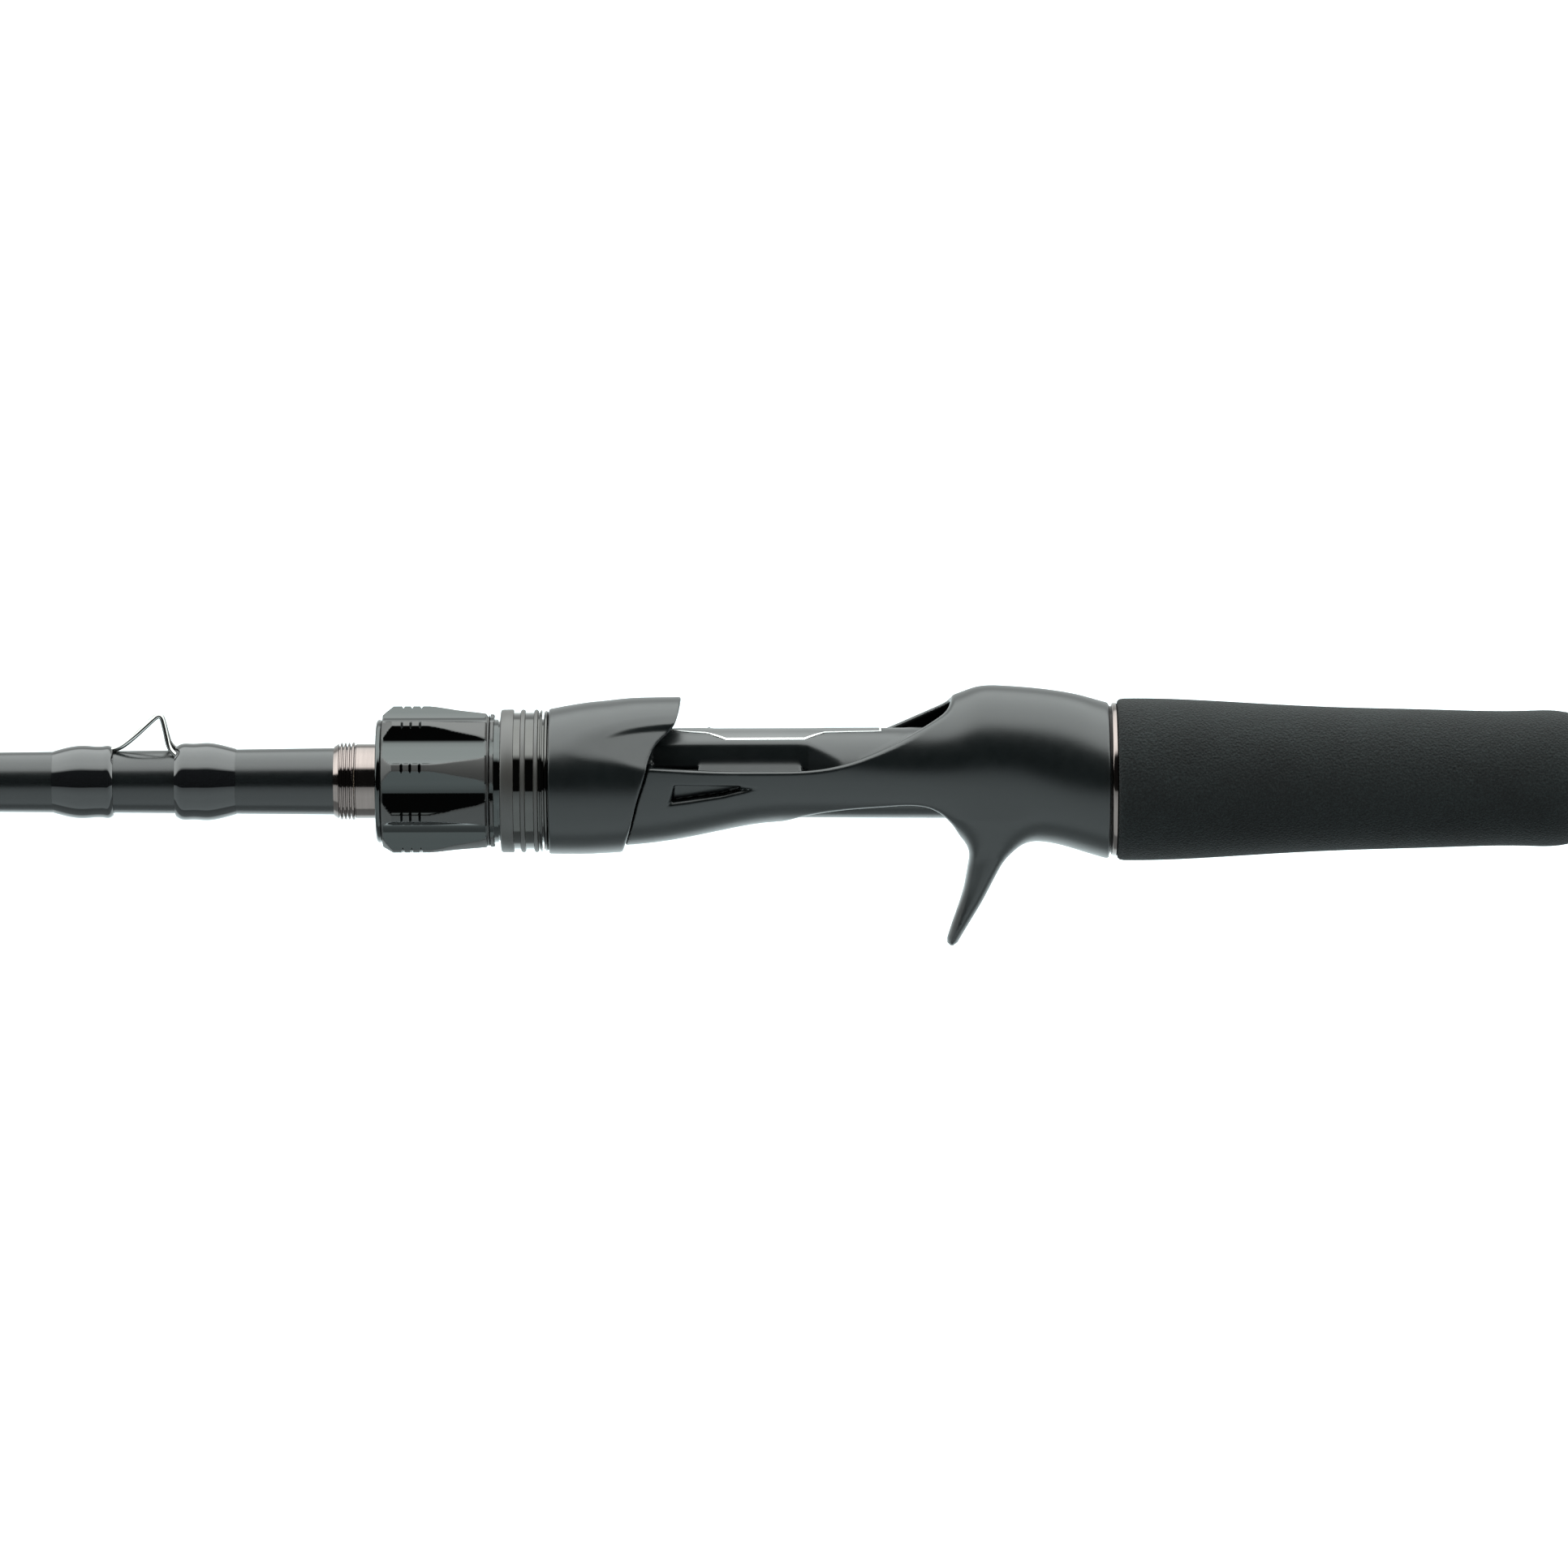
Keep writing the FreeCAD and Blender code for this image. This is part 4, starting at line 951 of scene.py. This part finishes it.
def build_butt_cap():
    """Moulded cap with a rounded edge, a groove in its end face and one round its side."""
    cap = [(-0.0, 0.0), (-0.0, 7.6), (-0.35, 8.0), (-0.35, 8.6), (-0.0, 9.0), (-0.05, 9.6)]
    cap += [(-2.6 + 2.55 * math.cos(a), 9.7 + 2.5 * math.sin(a)) for a in np.radians(np.linspace(8, 90, 10))]
    cap += [(-7.2, 12.2), (-7.35, 11.95), (-7.75, 11.95), (-7.9, 12.2), (-9.9, 12.2), (-10.0, 12.1),
            (-10.0, 6.72), (-3.95, 6.72), (-3.95, 0.0)]
    lathe("butt_cap_moulded", cap, "butt_cap", 128)


# ---------------------------------------------------------------- line guides

RING_STEPS = 72
RING_SECTION_STEPS = 20


def ring_mesh(x, centre_z, major, minor):
    """Points of a torus about X, in millimetres."""
    turn = np.linspace(0, 2 * math.pi, RING_STEPS, endpoint=False)[:, None]
    around = np.linspace(0, 2 * math.pi, RING_SECTION_STEPS, endpoint=False)[None, :]
    radius = major + minor * np.cos(around)
    return np.stack([x + minor * np.sin(around) + 0 * turn, radius * np.cos(turn),
                     centre_z + radius * np.sin(turn)], -1).reshape(-1, 3)


def build_guides():
    """Polished ceramic rings; the stamped frames and the wraps stay as the CAD has them."""
    names = ["guide_%d" % number for number in range(1, 9)] + ["tip_top"]
    for name in names:
        low, high = node_mm(name + "_ring")
        minor = (high.x - low.x) / 2
        centre = (low + high) / 2
        major = (high.z - low.z) / 2 - minor
        vertices = ring_mesh(centre.x, centre.z, major, minor)
        add_piece(name + "_ceramic", vertices, lattice_faces(RING_STEPS, RING_SECTION_STEPS), name + "_ring")


# ---------------------------------------------------------------- camera, light and floor

# Radiance of the studio by direction, in degrees round the rod's axis: 0 is towards the camera, 90 is up
STRIP_RADIANCE = 6.2
STRIP_TINT = (0.945, 1.0, 0.987)
STUDIO_GLOW = [(-180.0, 1.15), (-92.0, 1.15), (-86.0, 0.03), (47.0, 0.03), (56.0, 5.3), (70.0, 6.2),
               (100.0, 6.1), (120.0, 5.2), (134.0, 3.8), (142.0, 1.15), (180.0, 1.15)]
FLOOR_COLOR = (0.44, 0.475, 0.49)
# Painted shade on the floor: share of the floor's colour across a stretch of its width, given in millimetres;
# it darkens towards the camera's side and has a dark band, standing in for shade the rod reflects
FLOOR_PAINTED_SHADE_REACH = (-7000.0, -2000.0)
FLOOR_PAINTED_SHADE = [(0.0, 0.5), (0.4, 0.66), (0.67, 0.9), (0.76, 1.0), (0.904, 1.0), (0.909, 0.35), (0.974, 0.35),
              (0.99, 1.0)]


def build_floor():
    """Pale floor well below the rod, with painted shade in bands across its width."""
    bpy.ops.mesh.primitive_plane_add(size=14.0, location=(-0.9, 2.4, -0.55))
    floor = bpy.context.object
    floor.name = "studio_floor"
    material, tree, shader = new_material("pale_floor", FLOOR_COLOR, 0.9, specular=0.1)
    tint = ramp(tree, noise(tree, object_position(tree), 0.004),
                [(0.3, scaled(FLOOR_COLOR, 0.98)), (0.7, scaled(FLOOR_COLOR, 1.02))])
    across = tree.nodes.new("ShaderNodeSeparateXYZ")
    tree.links.new(object_position(tree), across.inputs["Vector"])
    # Painted shade: the floor's colour darkens in bands across its width
    lane = spread(tree, across.outputs["Y"], 0.0, 1.0, FLOOR_PAINTED_SHADE_REACH)
    shade = ramp(tree, lane, [(place, (share, share, share)) for place, share in FLOOR_PAINTED_SHADE])
    shaded = tree.nodes.new("ShaderNodeMix")
    shaded.data_type = "RGBA"
    shaded.blend_type = "MULTIPLY"
    shaded.inputs["Factor"].default_value = 1.0
    tree.links.new(tint, shaded.inputs["A"])
    tree.links.new(shade, shaded.inputs["B"])
    tree.links.new(shaded.outputs["Result"], shader.inputs["Base Color"])
    floor.data.materials.append(material)


def light_studio():
    """Surroundings with one wide strip light above the rod and a dark side towards the camera."""
    world = bpy.data.worlds.new("studio")
    bpy.context.scene.world = world
    world.use_nodes = True
    tree = world.node_tree
    background = tree.nodes["Background"]
    source = tree.nodes.new("ShaderNodeTexCoord")
    parts = tree.nodes.new("ShaderNodeSeparateXYZ")
    tree.links.new(source.outputs["Generated"], parts.inputs["Vector"])
    toward_camera = math_node(tree, "MULTIPLY", parts.outputs["Y"], -1.0)
    around = math_node(tree, "ARCTAN2", parts.outputs["Z"], toward_camera)
    turn = spread(tree, around, 0.0, 1.0, (-math.pi, math.pi))
    stops = [(degrees / 360 + 0.5, scaled(STRIP_TINT, glow / STRIP_RADIANCE))
             for degrees, glow in STUDIO_GLOW]
    tree.links.new(ramp(tree, turn, stops), background.inputs["Color"])
    background.inputs["Strength"].default_value = STRIP_RADIANCE


def place_camera():
    """Long lens, a little above the rod's side, square to it but for a slight roll."""
    scene = bpy.context.scene
    scene.view_settings.view_transform = "Standard"
    elevation = math.radians(11.0)
    roll = math.radians(-0.15)
    distance = 1.6
    field_width = 0.2512
    camera_data = bpy.data.cameras.new("camera")
    camera_data.sensor_width = 36.0
    camera_data.lens = camera_data.sensor_width * distance / field_width
    camera_data.clip_start = 0.05
    camera_data.clip_end = 40.0
    camera = bpy.data.objects.new("camera", camera_data)
    scene.collection.objects.link(camera)
    target = Vector((at(52.0) * MM, 0.0, -0.00062))
    camera.location = target + distance * Vector((0.0, -math.cos(elevation), math.sin(elevation)))
    camera.rotation_euler = (math.radians(90.0) - elevation, 0.0, 0.0)
    camera.rotation_euler.rotate_axis("Z", roll)
    scene.camera = camera


paint_frame()
build_floor()
light_studio()
place_camera()
build_seat()
build_nut()
build_front_bead()
build_collar()
build_winding_check()
build_blank()
build_keeper()
build_foam_grips()
build_grip_rings()
build_butt_cap()
build_guides()
